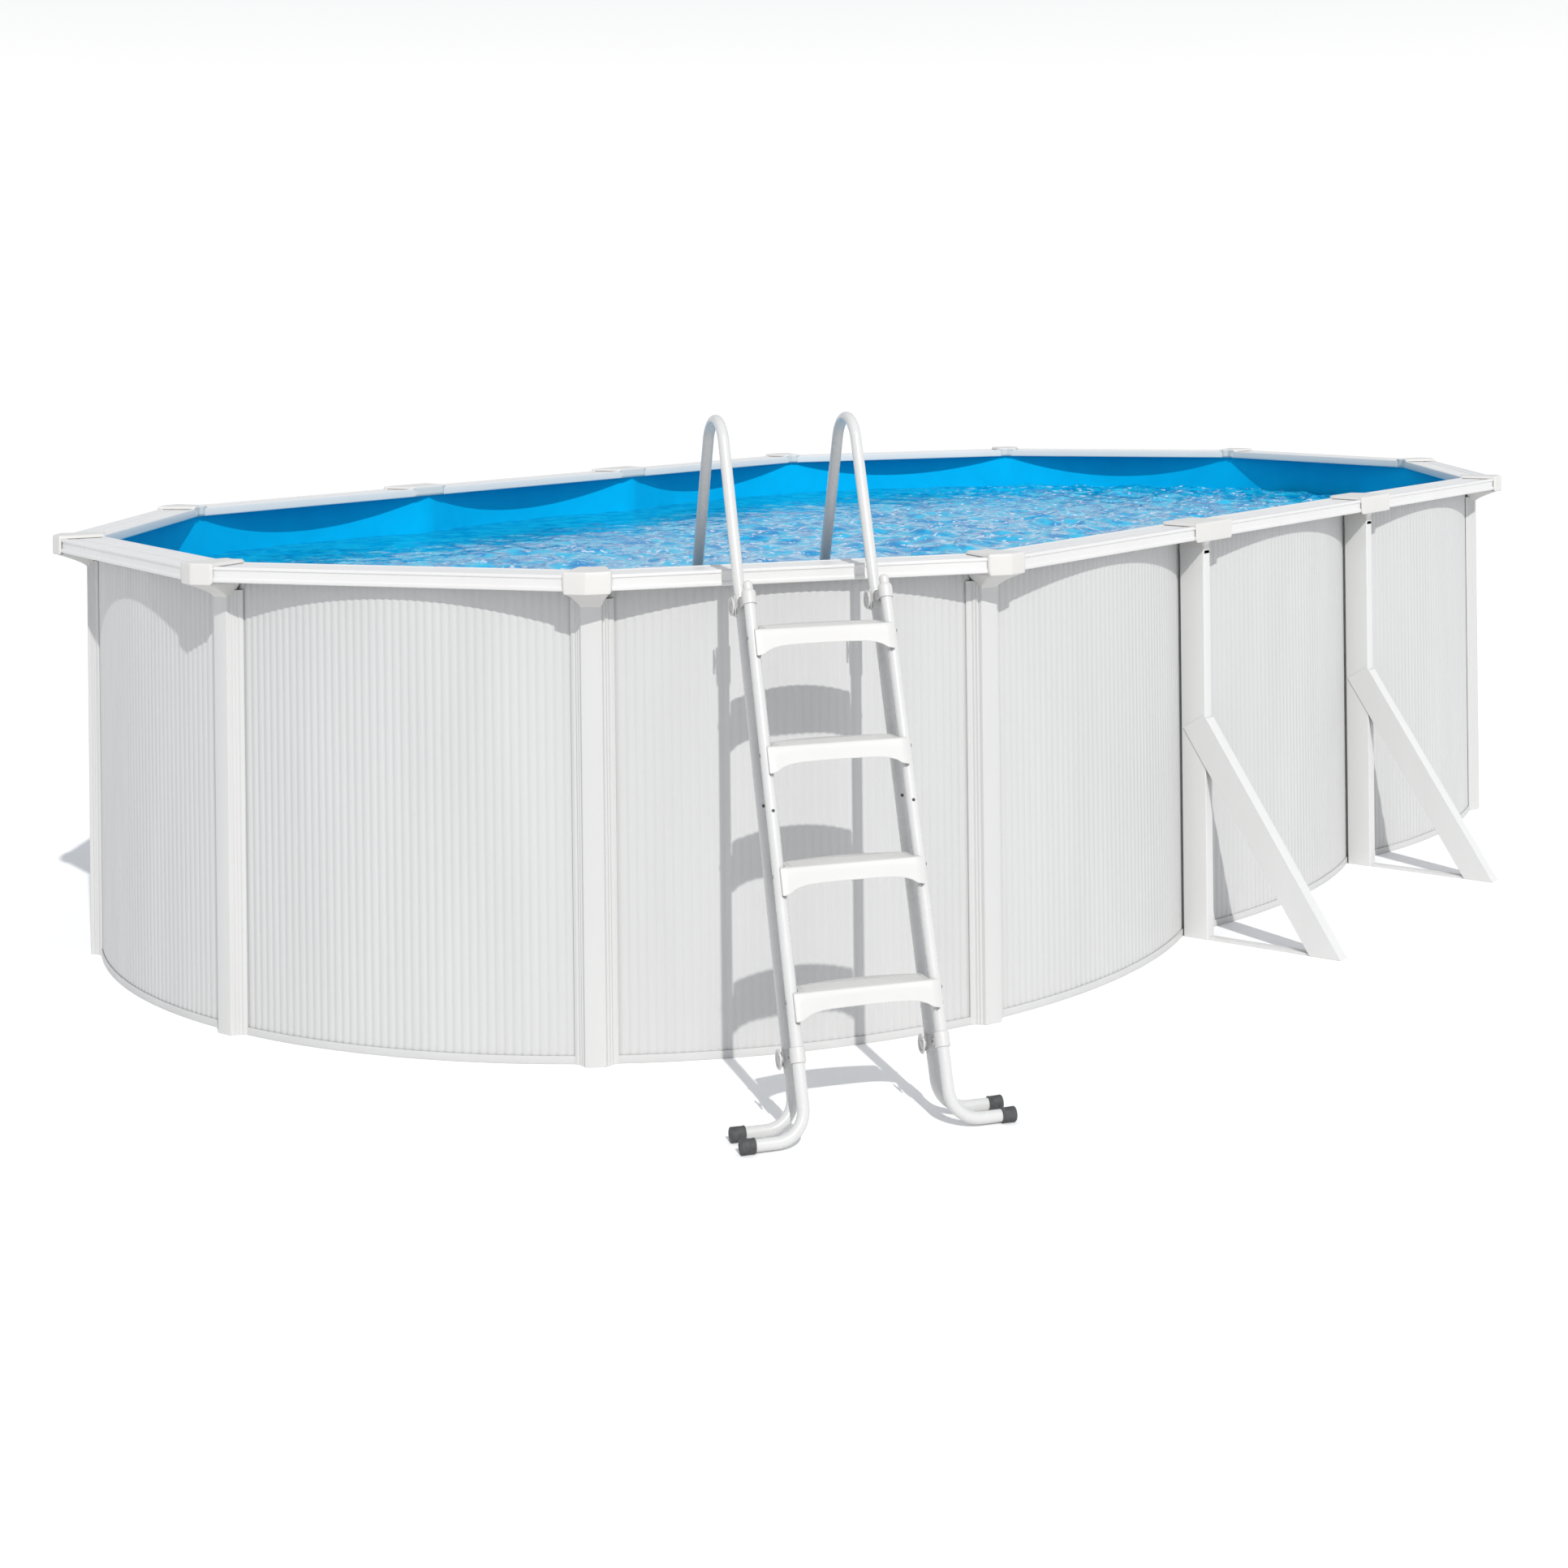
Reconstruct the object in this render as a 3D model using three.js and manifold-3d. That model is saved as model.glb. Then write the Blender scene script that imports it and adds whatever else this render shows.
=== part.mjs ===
// Oval above-ground pool with a corrugated steel wall, buttressed straight sides and an A-frame ladder
// whose outer flight of steps swings away from the fixed frame. Millimetres, +Z up, +X along the pool.
import * as THREE from "three";
import { mergeVertices } from "three/addons/utils/BufferGeometryUtils.js";
import Module from "manifold-3d";

const wasm = await Module();
wasm.setup();

// ---- driving dimensions -------------------------------------------------------------------------
const GAP = 0.3; // clearance between touching pieces

// plan of the pool
const END_RADIUS = 1830; // radius of the rounded ends, to the middle of the wall
const END_CENTRE_X = 1220; // distance of each end's centre from the pool's centre
const SIDE_POST_X = 622; // the two buttressed posts of each straight side stand at plus and minus this
const CORNER_STEP = 36; // degrees between neighbouring posts round an end
const PANEL_SEGMENTS = 6; // straight segments in each bowed wall panel

// wall, bottom track and liner
const WALL_TOP = 1320;
const WALL_THICKNESS = 6; // depth over the corrugations
const TRACK_HEIGHT = 22;
const TRACK_SHEET = 2;
const LINER_SIDE = 2;
const LINER_FLOOR = 5; // vinyl on its layer of felt

// top rails and caps, offsets counted outwards from the chord between two posts
const RAIL_INNER = -11;
const RAIL_OUTER = 128;
const RAIL_BOTTOM = 1297;
const RAIL_TOP = 1342;
const RAIL_SHEET = 3;
const RAIL_INNER_LIP = 32;
const RAIL_END_GAP = 20;
const CAP_TOP = 1351;
const CAP_BOTTOM = 1289;
const CAP_INNER = -14;
const CAP_OUTER = 134;
const CAP_INNER_LIP = 40;
const CAP_HALF_WIDTH = 67;
const SIDE_CAP_HALF_WIDTH = 119;
const CAP_TAPER = 24; // how much narrower each side of a cap is at its inner edge

// posts
const POST_HALF_WIDTH = 60;
const POST_RIDGE_HALF_WIDTH = 29;
const POST_BACK = 7;
const POST_DEPTH = 36;
const POST_SHEET = 3;
const SIDE_POST_HALF_WIDTH = 22;
const SIDE_POST_BACK = 16;
const SIDE_POST_DEPTH = 104;
const SHELF_BOTTOM = 1287;
const SHELF_DEPTH = 122;
const SKIRT_BOTTOM = 1246;

// buttresses of the straight sides
const BRACE_WIDTH = 90; // across the sloping channel's side
const BRACE_ANGLE = 33; // degrees from the vertical
const BRACE_FOOT = 572; // distance of the toe from the wall line
const BRACE_TOP = 726; // height of the upper end
const BRACE_SHEET = 2.6;
const BRACE_TOP_BACK = 24;
const STRAP_HALF_WIDTH = 20;
const STRAP_HEIGHT = 6;

// ladder, in its own frame: X sideways, -Y out from the pool, origin on the chord of its wall panel
const LADDER_SHIFT = -30; // the ladder's middle line from the middle of the panel
const LADDER_PANEL = 8; // panel that it stands over
const LEG_HALF_SPACING = 189;
const LEG_SLOPE = 0.383; // horizontal run per unit of height
const TUBE_RADIUS = 15.5;
const TUBE_BORE = 14;
const TUBE_SIDES = 12;
const FOOT_CAP_RADIUS = 19;
const FOOT_CAP_LENGTH = 38;
const FOOT_REACH = 168; // from the leg's axis to the outer end of its rubber cap
const FOOT_BEND = 75;
const STEP_TUBE_FOOT = 840; // distance of the steps' tubes from the chord, at foot height
const FRAME_TUBE_FOOT = 745;
const APEX_OFFSET = 20; // the frame's plane of symmetry
const HOOP_RADIUS = 94;
const STEP_TOPS = [349, 637, 925, 1213];
const INNER_STEP_TOPS = [349, 637, 925];
const STEP_HALF_WIDTH = 190;
const STEP_BODY_HALF_WIDTH = 171;
const STEP_NOSE = 28; // how far the front face stands ahead of the tubes' axes
const STEP_DEPTH = 95;
const STEP_HEIGHT = 43; // of the front face in the middle
const STEP_END_HEIGHT = 66;
const STEP_END_DEPTH = 72; // the back edge is bowed, so the ends are shallower
const COUPLING_HEIGHT = 1361; // along the steps' tubes
const LATCH_HEIGHT = 198;
const STEP_TUBE_TOP = 1376;
const NECK_RADIUS = 13; // of the domed plug in the end of each step tube
const SLEEVE_RADIUS = 19.5;
const SLEEVE_LENGTH = 38;
const CLAMP_LENGTH = 56;
const CHEEK_INNER = 5.4;
const CHEEK_OUTER = 9.4;
const TONGUE_HALF = 5;
const PIVOT_RADIUS = 3.6;
const BOSS_END = 22; // how far a knob's boss stands out from the axis of the leg
const KNOB_RADIUS = 25.5;
const KNOB_THICKNESS = 6;
const KNOB_STUD = 3.2;

// ---- materials ------------------------------------------------------------------------------------
const paint = new THREE.MeshStandardMaterial({ name: "white_painted_steel", color: 0xeeeeec, roughness: 0.45 });
const plastic = new THREE.MeshStandardMaterial({ name: "white_plastic", color: 0xefede8, roughness: 0.5 });
const tubePaint = new THREE.MeshStandardMaterial({ name: "white_tube", color: 0xf2f1ee, roughness: 0.35 });
const vinyl = new THREE.MeshStandardMaterial({ name: "blue_vinyl", color: 0x0a78d2, roughness: 0.35 });
const rubber = new THREE.MeshStandardMaterial({ name: "dark_rubber", color: 0x3a3b3d, roughness: 0.8 });

// ---- solids ---------------------------------------------------------------------------------------
function solid(geometry) {
  const bare = geometry.index ? geometry.toNonIndexed() : geometry.clone();
  bare.deleteAttribute("normal");
  bare.deleteAttribute("uv");
  const merged = mergeVertices(bare, 1e-3);
  return new wasm.Manifold(
    new wasm.Mesh({
      numProp: 3,
      vertProperties: new Float32Array(merged.attributes.position.array),
      triVerts: new Uint32Array(merged.index.array),
    }),
  );
}

function geometryOf(manifold) {
  const mesh = manifold.getMesh();
  const geometry = new THREE.BufferGeometry();
  geometry.setAttribute("position", new THREE.BufferAttribute(new Float32Array(mesh.vertProperties), 3));
  geometry.setIndex(new THREE.BufferAttribute(new Uint32Array(mesh.triVerts), 1));
  geometry.computeVertexNormals();
  return geometry;
}

function addPart(parent, name, shape, material) {
  const geometry = shape.isBufferGeometry ? shape : geometryOf(shape);
  const mesh = new THREE.Mesh(geometry, material);
  mesh.name = name;
  parent.add(mesh);
  return mesh;
}

function outline(points) {
  return new THREE.Shape(points.map(([x, y]) => new THREE.Vector2(x, y)));
}

// an outline in the XY plane raised from one height to another
function prism(points, bottom, top) {
  const geometry = new THREE.ExtrudeGeometry(outline(points), { depth: top - bottom, bevelEnabled: false });
  return geometry.translate(0, 0, bottom);
}

function ring(outer, inner, bottom, top) {
  const shape = outline(outer);
  shape.holes.push(new THREE.Path(inner.map(([x, y]) => new THREE.Vector2(x, y))));
  const geometry = new THREE.ExtrudeGeometry(shape, { depth: top - bottom, bevelEnabled: false });
  return geometry.translate(0, 0, bottom);
}

function box(low, high) {
  const size = high.map((value, i) => value - low[i]);
  const middle = high.map((value, i) => (value + low[i]) / 2);
  return new THREE.BoxGeometry(...size).translate(...middle);
}

// a cylinder along X, Y or Z whose flats stand at least the radius from the axis when it is a hole
function rod(axis, radius, from, to, sides = TUBE_SIDES, hole = false) {
  const reach = hole ? radius / Math.cos(Math.PI / sides) : radius;
  const geometry = new THREE.CylinderGeometry(reach, reach, to - from, sides);
  geometry.translate(0, (from + to) / 2, 0);
  if (axis === "x") geometry.rotateZ(-Math.PI / 2);
  if (axis === "z") geometry.rotateX(Math.PI / 2);
  return geometry;
}

// a curve that passes through given stations, with one ring of the swept section at each of them
class StationCurve extends THREE.Curve {
  constructor(stations) {
    super();
    this.stations = stations;
  }
  getPoint(t, target = new THREE.Vector3()) {
    const last = this.stations.length - 1;
    const place = Math.min(Math.max(t, 0), 1) * last;
    const index = Math.min(Math.floor(place + 1e-9), last - 1);
    return target.lerpVectors(this.stations[index], this.stations[index + 1], place - index);
  }
  getPointAt(u, target) {
    return this.getPoint(u, target);
  }
  getTangentAt(u, target = new THREE.Vector3()) {
    const last = this.stations.length - 1;
    const index = Math.round(u * last);
    const before = this.stations[Math.max(index - 1, 0)];
    const after = this.stations[Math.min(index + 1, last)];
    const here = this.stations[index];
    const towards = new THREE.Vector3().subVectors(here, before).normalize();
    const away = new THREE.Vector3().subVectors(after, here).normalize();
    return target.addVectors(towards, away).normalize();
  }
}

function tube(stations) {
  const section = new THREE.Shape().absarc(0, 0, TUBE_RADIUS, 0, 2 * Math.PI);
  section.holes.push(new THREE.Path().absarc(0, 0, TUBE_BORE, 0, 2 * Math.PI));
  return new THREE.ExtrudeGeometry(section, {
    steps: stations.length - 1,
    curveSegments: TUBE_SIDES / 2,
    extrudePath: new StationCurve(stations),
  });
}

// ---- plan -----------------------------------------------------------------------------------------
const degrees = (angle) => THREE.MathUtils.degToRad(angle);
const STRAIGHT_Y = END_RADIUS * Math.sin(degrees(2 * CORNER_STEP));

function endCorner(side, angle) {
  const turn = degrees(angle);
  return {
    x: side * END_CENTRE_X + END_RADIUS * Math.cos(turn),
    y: END_RADIUS * Math.sin(turn),
    turn,
    buttressed: false,
  };
}

function sideCorner(xSign, ySign) {
  return { x: xSign * SIDE_POST_X, y: ySign * STRAIGHT_Y, turn: degrees(90 * ySign), buttressed: true };
}

// the posts in anticlockwise order, starting at the right end on the long axis
const corners = [
  ...[0, 1, 2].map((i) => endCorner(1, i * CORNER_STEP)),
  sideCorner(1, 1),
  sideCorner(-1, 1),
  ...[3, 4, 5, 6, 7].map((i) => endCorner(-1, i * CORNER_STEP)),
  sideCorner(-1, -1),
  sideCorner(1, -1),
  ...[8, 9].map((i) => endCorner(1, i * CORNER_STEP)),
];

// the straight chord between two neighbouring posts, with its direction and outward normal
function panelBetween(index) {
  const from = corners[index];
  const to = corners[(index + 1) % corners.length];
  const length = Math.hypot(to.x - from.x, to.y - from.y);
  const along = { x: (to.x - from.x) / length, y: (to.y - from.y) / length };
  return { from, to, length, along, out: { x: along.y, y: -along.x } };
}

const PANEL_BULGE = END_RADIUS * (1 - Math.cos(degrees(CORNER_STEP / 2)));

// the middle line of the wall, bowed outwards between every two posts
function wallLine() {
  const points = [];
  for (let index = 0; index < corners.length; index += 1) {
    const { from, length, along, out } = panelBetween(index);
    const radius = (length * length / 4 + PANEL_BULGE * PANEL_BULGE) / (2 * PANEL_BULGE);
    const halfAngle = Math.asin(length / 2 / radius);
    for (let step = 0; step < PANEL_SEGMENTS; step += 1) {
      const angle = halfAngle * (2 * step / PANEL_SEGMENTS - 1);
      const run = length / 2 + radius * Math.sin(angle);
      const rise = radius * (Math.cos(angle) - 1) + PANEL_BULGE;
      points.push([from.x + along.x * run + out.x * rise, from.y + along.y * run + out.y * rise]);
    }
  }
  return points;
}

// the wall line moved outwards by a distance, with mitred corners
function offsetLine(points, distance) {
  return points.map((point, index) => {
    const before = points[(index + points.length - 1) % points.length];
    const after = points[(index + 1) % points.length];
    const first = new THREE.Vector2(point[1] - before[1], before[0] - point[0]).normalize();
    const second = new THREE.Vector2(after[1] - point[1], point[0] - after[0]).normalize();
    const middle = first.clone().add(second).normalize();
    const reach = distance / middle.dot(first);
    return [point[0] + middle.x * reach, point[1] + middle.y * reach];
  });
}

const wall = wallLine();
const line = (distance) => offsetLine(wall, distance);

// ---- wall, bottom track and liner -----------------------------------------------------------------
const HALF_WALL = WALL_THICKNESS / 2;

function wallSheet() {
  return ring(line(HALF_WALL), line(-HALF_WALL), TRACK_SHEET + GAP, WALL_TOP);
}

function bottomTrack() {
  const outside = line(HALF_WALL + GAP + TRACK_SHEET);
  const base = solid(ring(outside, line(-HALF_WALL), 0, TRACK_SHEET));
  const lip = solid(ring(outside, line(HALF_WALL + GAP), 0, TRACK_HEIGHT));
  return base.add(lip);
}

function liner() {
  const outside = line(-HALF_WALL - GAP);
  const inside = line(-HALF_WALL - GAP - LINER_SIDE);
  const floor = solid(prism(outside, 0, LINER_FLOOR));
  const side = solid(ring(outside, inside, 0, WALL_TOP));
  return floor.add(side);
}

// ---- rails, caps and posts ------------------------------------------------------------------------
// one end of a rail: the run along the panel at which its edge meets the joint line at a corner
function railEnd(panel, corner, offset, side) {
  const across = { x: -Math.sin(corner.turn), y: Math.cos(corner.turn) };
  const start = { x: panel.from.x - corner.x, y: panel.from.y - corner.y };
  const reached = (start.x + panel.out.x * offset) * across.x + (start.y + panel.out.y * offset) * across.y;
  const rate = panel.along.x * across.x + panel.along.y * across.y;
  return (side * RAIL_END_GAP / 2 - reached) / rate;
}

function topRail(panel) {
  const section = outline([
    [RAIL_INNER, RAIL_TOP - RAIL_INNER_LIP],
    [RAIL_INNER + RAIL_SHEET, RAIL_TOP - RAIL_INNER_LIP],
    [RAIL_INNER + RAIL_SHEET, RAIL_TOP - RAIL_SHEET],
    [RAIL_OUTER - RAIL_SHEET, RAIL_TOP - RAIL_SHEET],
    [RAIL_OUTER - RAIL_SHEET, RAIL_BOTTOM],
    [RAIL_OUTER, RAIL_BOTTOM],
    [RAIL_OUTER, RAIL_TOP],
    [RAIL_INNER, RAIL_TOP],
  ]);
  const geometry = new THREE.ExtrudeGeometry(section, { depth: 1, bevelEnabled: false });
  const position = geometry.getAttribute("position");
  for (let i = 0; i < position.count; i += 1) {
    const offset = position.getX(i);
    const height = position.getY(i);
    const atEnd = position.getZ(i) < 0.5;
    const run = atEnd ? railEnd(panel, panel.to, offset, -1) : railEnd(panel, panel.from, offset, 1);
    const x = panel.from.x + panel.along.x * run + panel.out.x * offset;
    const y = panel.from.y + panel.along.y * run + panel.out.y * offset;
    position.setXYZ(i, x, y, height);
  }
  return solid(geometry);
}

// plan of a cap between two offsets, in the corner's frame: X across, Y outwards
function capPlan(bend, inner, outer, innerHalf, outerHalf) {
  const depth = (offset, across) => (offset - Math.abs(across) * Math.sin(bend)) / Math.cos(bend);
  return [
    [-outerHalf, depth(outer, outerHalf)],
    [-innerHalf, depth(inner, innerHalf)],
    [0, depth(inner, 0)],
    [innerHalf, depth(inner, innerHalf)],
    [outerHalf, depth(outer, outerHalf)],
    [0, depth(outer, 0)],
  ];
}

function cap(bend, half) {
  const block = solid(prism(capPlan(bend, CAP_INNER, CAP_OUTER, half - CAP_TAPER, half), CAP_BOTTOM, CAP_TOP));
  const wide = half + RAIL_END_GAP;
  const railRoom = capPlan(bend, RAIL_INNER - GAP, RAIL_OUTER + GAP, wide, wide);
  const channel = solid(prism(railRoom, CAP_BOTTOM - 1, RAIL_TOP + GAP));
  const behind = capPlan(bend, CAP_INNER - 1, 0, wide, wide);
  const underInnerLip = solid(prism(behind, CAP_BOTTOM - 1, CAP_TOP - CAP_INNER_LIP));
  return block.subtract(channel).subtract(underInnerLip);
}

// the shelf that carries the rail ends and the skirt that tapers down from it to the post
function shelfAndSkirt(back, halfTop, halfBottom, depthBottom) {
  const shelf = solid(box([-halfTop, back, SHELF_BOTTOM], [halfTop, CAP_OUTER - 3, RAIL_BOTTOM - GAP]));
  const skirt = box([-1, 0, SKIRT_BOTTOM], [1, 1, SHELF_BOTTOM]);
  const position = skirt.getAttribute("position");
  for (let i = 0; i < position.count; i += 1) {
    const high = position.getZ(i) > (SKIRT_BOTTOM + SHELF_BOTTOM) / 2;
    const half = high ? halfTop : halfBottom;
    const depth = high ? SHELF_DEPTH : depthBottom;
    position.setX(i, Math.sign(position.getX(i)) * half);
    position.setY(i, position.getY(i) > 0.5 ? depth : back);
  }
  return shelf.add(solid(skirt));
}

function endPost() {
  const slope = POST_HALF_WIDTH - 15;
  const profile = [
    [-POST_HALF_WIDTH, POST_BACK],
    [-slope + 2, POST_BACK],
    [-POST_RIDGE_HALF_WIDTH + 2, POST_DEPTH - POST_SHEET],
    [POST_RIDGE_HALF_WIDTH - 2, POST_DEPTH - POST_SHEET],
    [slope - 2, POST_BACK],
    [POST_HALF_WIDTH, POST_BACK],
    [POST_HALF_WIDTH, POST_BACK + POST_SHEET],
    [slope, POST_BACK + POST_SHEET + 1],
    [POST_RIDGE_HALF_WIDTH, POST_DEPTH],
    [-POST_RIDGE_HALF_WIDTH, POST_DEPTH],
    [-slope, POST_BACK + POST_SHEET + 1],
    [-POST_HALF_WIDTH, POST_BACK + POST_SHEET],
  ];
  const bend = degrees(CORNER_STEP / 2);
  return solid(prism(profile, 0, SHELF_BOTTOM + 1))
    .add(shelfAndSkirt(POST_BACK, POST_HALF_WIDTH, POST_RIDGE_HALF_WIDTH, POST_DEPTH))
    .add(cap(bend, CAP_HALF_WIDTH));
}

function sidePost() {
  const half = SIDE_POST_HALF_WIDTH;
  const inner = half - POST_SHEET;
  const profile = [
    [-half, SIDE_POST_BACK],
    [-inner, SIDE_POST_BACK],
    [-inner, SIDE_POST_DEPTH - POST_SHEET],
    [inner, SIDE_POST_DEPTH - POST_SHEET],
    [inner, SIDE_POST_BACK],
    [half, SIDE_POST_BACK],
    [half, SIDE_POST_DEPTH],
    [-half, SIDE_POST_DEPTH],
  ];
  return solid(prism(profile, 0, SHELF_BOTTOM + 1))
    .add(shelfAndSkirt(SIDE_POST_BACK, half, half, SIDE_POST_DEPTH))
    .add(cap(0, SIDE_CAP_HALF_WIDTH));
}

// ---- buttresses -----------------------------------------------------------------------------------
// a side view of the sloping channel, outwards and upwards, raised to a thickness across the post
function sideView(points, from, to) {
  const geometry = new THREE.ExtrudeGeometry(outline(points), { depth: to - from, bevelEnabled: false });
  geometry.translate(0, 0, from);
  return geometry.rotateX(Math.PI / 2).rotateZ(Math.PI / 2);
}

function buttress() {
  const slope = Math.tan(degrees(BRACE_ANGLE));
  const footWidth = BRACE_WIDTH / Math.cos(degrees(BRACE_ANGLE));
  const outerAt = (height) => BRACE_FOOT - height * slope;
  const innerAt = (height) => outerAt(height) - footWidth;
  const topBack = (BRACE_FOOT - footWidth - BRACE_TOP_BACK) / slope;
  const flange = [
    [innerAt(0), 0],
    [outerAt(0), 0],
    [outerAt(BRACE_TOP), BRACE_TOP],
    [innerAt(topBack), topBack],
  ];
  const webDepth = BRACE_SHEET / Math.cos(degrees(BRACE_ANGLE));
  const webTop = (BRACE_FOOT - webDepth - SIDE_POST_DEPTH - 2 * GAP) / slope;
  const web = [
    [outerAt(0) - webDepth, 0],
    [outerAt(0), 0],
    [outerAt(webTop), webTop],
    [outerAt(webTop) - webDepth, webTop],
  ];
  const near = SIDE_POST_HALF_WIDTH + GAP;
  const far = near + BRACE_SHEET;
  const footPlate = box([-far, innerAt(0), 0], [far, outerAt(0) - 1, BRACE_SHEET]);
  const strap = box(
    [-STRAP_HALF_WIDTH, SIDE_POST_DEPTH + GAP, 0],
    [STRAP_HALF_WIDTH, innerAt(0) + 20, STRAP_HEIGHT],
  );
  return solid(sideView(flange, near, far))
    .add(solid(sideView(flange, -far, -near)))
    .add(solid(sideView(web, -far, far)))
    .add(solid(footPlate))
    .add(solid(strap));
}

// ---- ladder ---------------------------------------------------------------------------------------
const FOOT_HEIGHT = FOOT_CAP_RADIUS; // the foot tubes' axis above the ground
const SLOPE_ANGLE = Math.atan(LEG_SLOPE);
const TUBE_SPACING = (STEP_TUBE_FOOT - FRAME_TUBE_FOOT) * Math.cos(SLOPE_ANGLE);
const APEX_HEIGHT = FOOT_HEIGHT + (FRAME_TUBE_FOOT - APEX_OFFSET) / LEG_SLOPE;
const CAP_BOTTOM_WALL = 5;

// distance from the chord of a leg's axis at a height
const outerLegAt = (foot, height) => foot - LEG_SLOPE * (height - FOOT_HEIGHT);
const innerLegAt = (height) => APEX_OFFSET - LEG_SLOPE * (APEX_HEIGHT - height);

// the foot of a leg: from its sideways end, round the bend and up to the start of the straight leg
function footStations(side, foot) {
  const up = new THREE.Vector3(0, Math.sin(SLOPE_ANGLE), Math.cos(SLOPE_ANGLE));
  const knee = new THREE.Vector3(side * LEG_HALF_SPACING, -foot, FOOT_HEIGHT);
  const sideways = new THREE.Vector3(side, 0, 0);
  const end = knee.clone().addScaledVector(sideways, FOOT_REACH - CAP_BOTTOM_WALL - GAP);
  const stations = [end];
  const bendSteps = 6;
  for (let i = 0; i <= bendSteps; i += 1) {
    const angle = (i / bendSteps) * (Math.PI / 2);
    const point = knee.clone();
    point.addScaledVector(sideways, FOOT_BEND * (1 - Math.sin(angle)));
    point.addScaledVector(up, FOOT_BEND * (1 - Math.cos(angle)));
    stations.push(point);
  }
  return stations;
}

function frameTube(side) {
  const x = side * LEG_HALF_SPACING;
  const stations = footStations(side, FRAME_TUBE_FOOT);
  const centre = APEX_HEIGHT - HOOP_RADIUS / Math.sin(SLOPE_ANGLE);
  const arcSteps = 12;
  for (let i = 0; i <= arcSteps; i += 1) {
    const angle = SLOPE_ANGLE + (i / arcSteps) * (Math.PI - 2 * SLOPE_ANGLE);
    const out = APEX_OFFSET + HOOP_RADIUS * Math.cos(angle);
    stations.push(new THREE.Vector3(x, -out, centre + HOOP_RADIUS * Math.sin(angle)));
  }
  const end = LINER_FLOOR + GAP + TUBE_RADIUS * Math.sin(SLOPE_ANGLE);
  stations.push(new THREE.Vector3(x, -innerLegAt(end), end));
  return solid(tube(stations));
}

// moves a shape from a leg's own frame, with Z up along the leg and Y inwards, to the ladder's frame
// heights count from the steps' tube's foot, and the frame's leg stands inwards of that tube
function alongLeg(shape, side, inwards) {
  const geometry = shape.isBufferGeometry ? shape : geometryOf(shape);
  geometry.translate(0, inwards, 0);
  geometry.rotateX(-SLOPE_ANGLE);
  return geometry.translate(side * LEG_HALF_SPACING, -STEP_TUBE_FOOT, FOOT_HEIGHT);
}

const onStepTube = (shape, side) => alongLeg(shape, side, 0);
const onFrame = (shape, side) => alongLeg(shape, side, TUBE_SPACING);

// the lower bracket on a frame leg: a ring, a tongue for the latch and a boss for the knob
function lowerBracket() {
  const half = SLEEVE_LENGTH / 2;
  const ringPart = solid(rod("z", SLEEVE_RADIUS, LATCH_HEIGHT - half, LATCH_HEIGHT + half));
  const tongue = solid(
    box(
      [-TONGUE_HALF, -TUBE_SPACING / 2 + 4, LATCH_HEIGHT - 10],
      [TONGUE_HALF, -TUBE_BORE - 1, LATCH_HEIGHT + 10],
    ),
  );
  return ringPart.add(tongue).add(knobBoss(LATCH_HEIGHT)).subtract(solid(rod("z", TUBE_BORE + 1, 0, 2000)));
}

function knobBoss(height) {
  return solid(rod("x", 8, -BOSS_END, -TUBE_RADIUS - 1).translate(0, 0, height));
}

// the hole for a knob's stud
function knobBore(height) {
  return rod("x", KNOB_STUD + GAP, -BOSS_END - 1, -TUBE_RADIUS - 1, TUBE_SIDES, true).translate(0, 0, height);
}

function frameWithBracket(side) {
  const bracket = solid(onFrame(lowerBracket(), side));
  const bore = solid(onFrame(knobBore(LATCH_HEIGHT), side));
  return frameTube(side).add(bracket).subtract(bore);
}

function stepTube(side) {
  const up = new THREE.Vector3(0, Math.sin(SLOPE_ANGLE), Math.cos(SLOPE_ANGLE));
  const stations = footStations(side, STEP_TUBE_FOOT);
  const knee = new THREE.Vector3(side * LEG_HALF_SPACING, -STEP_TUBE_FOOT, FOOT_HEIGHT);
  stations.push(knee.clone().addScaledVector(up, STEP_TUBE_TOP));
  const dome = new THREE.LatheGeometry(
    [
      new THREE.Vector2(0, -6),
      new THREE.Vector2(TUBE_RADIUS - 0.5, -6),
      new THREE.Vector2(TUBE_RADIUS - 0.5, 2),
      new THREE.Vector2(NECK_RADIUS, 5),
      new THREE.Vector2(NECK_RADIUS, 23),
      new THREE.Vector2(NECK_RADIUS - 4, 29),
      new THREE.Vector2(0, 31),
    ],
    TUBE_SIDES,
  );
  dome.rotateX(Math.PI / 2).translate(0, 0, STEP_TUBE_TOP);
  return solid(tube(stations)).add(solid(onStepTube(dome, side)));
}

function footCap(side, foot) {
  const outer = FOOT_CAP_RADIUS;
  const bore = (TUBE_RADIUS + GAP) / Math.cos(Math.PI / TUBE_SIDES);
  const mouth = FOOT_REACH - FOOT_CAP_LENGTH;
  const floor = FOOT_REACH - CAP_BOTTOM_WALL;
  const cup = new THREE.LatheGeometry(
    [
      new THREE.Vector2(0, floor),
      new THREE.Vector2(bore, floor),
      new THREE.Vector2(bore, mouth),
      new THREE.Vector2(outer, mouth),
      new THREE.Vector2(outer, FOOT_REACH - 2),
      new THREE.Vector2(outer - 2, FOOT_REACH),
      new THREE.Vector2(0, FOOT_REACH),
    ],
    TUBE_SIDES * 2,
  );
  cup.rotateZ(-side * Math.PI / 2);
  return cup.translate(side * LEG_HALF_SPACING, -foot, FOOT_HEIGHT);
}

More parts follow.
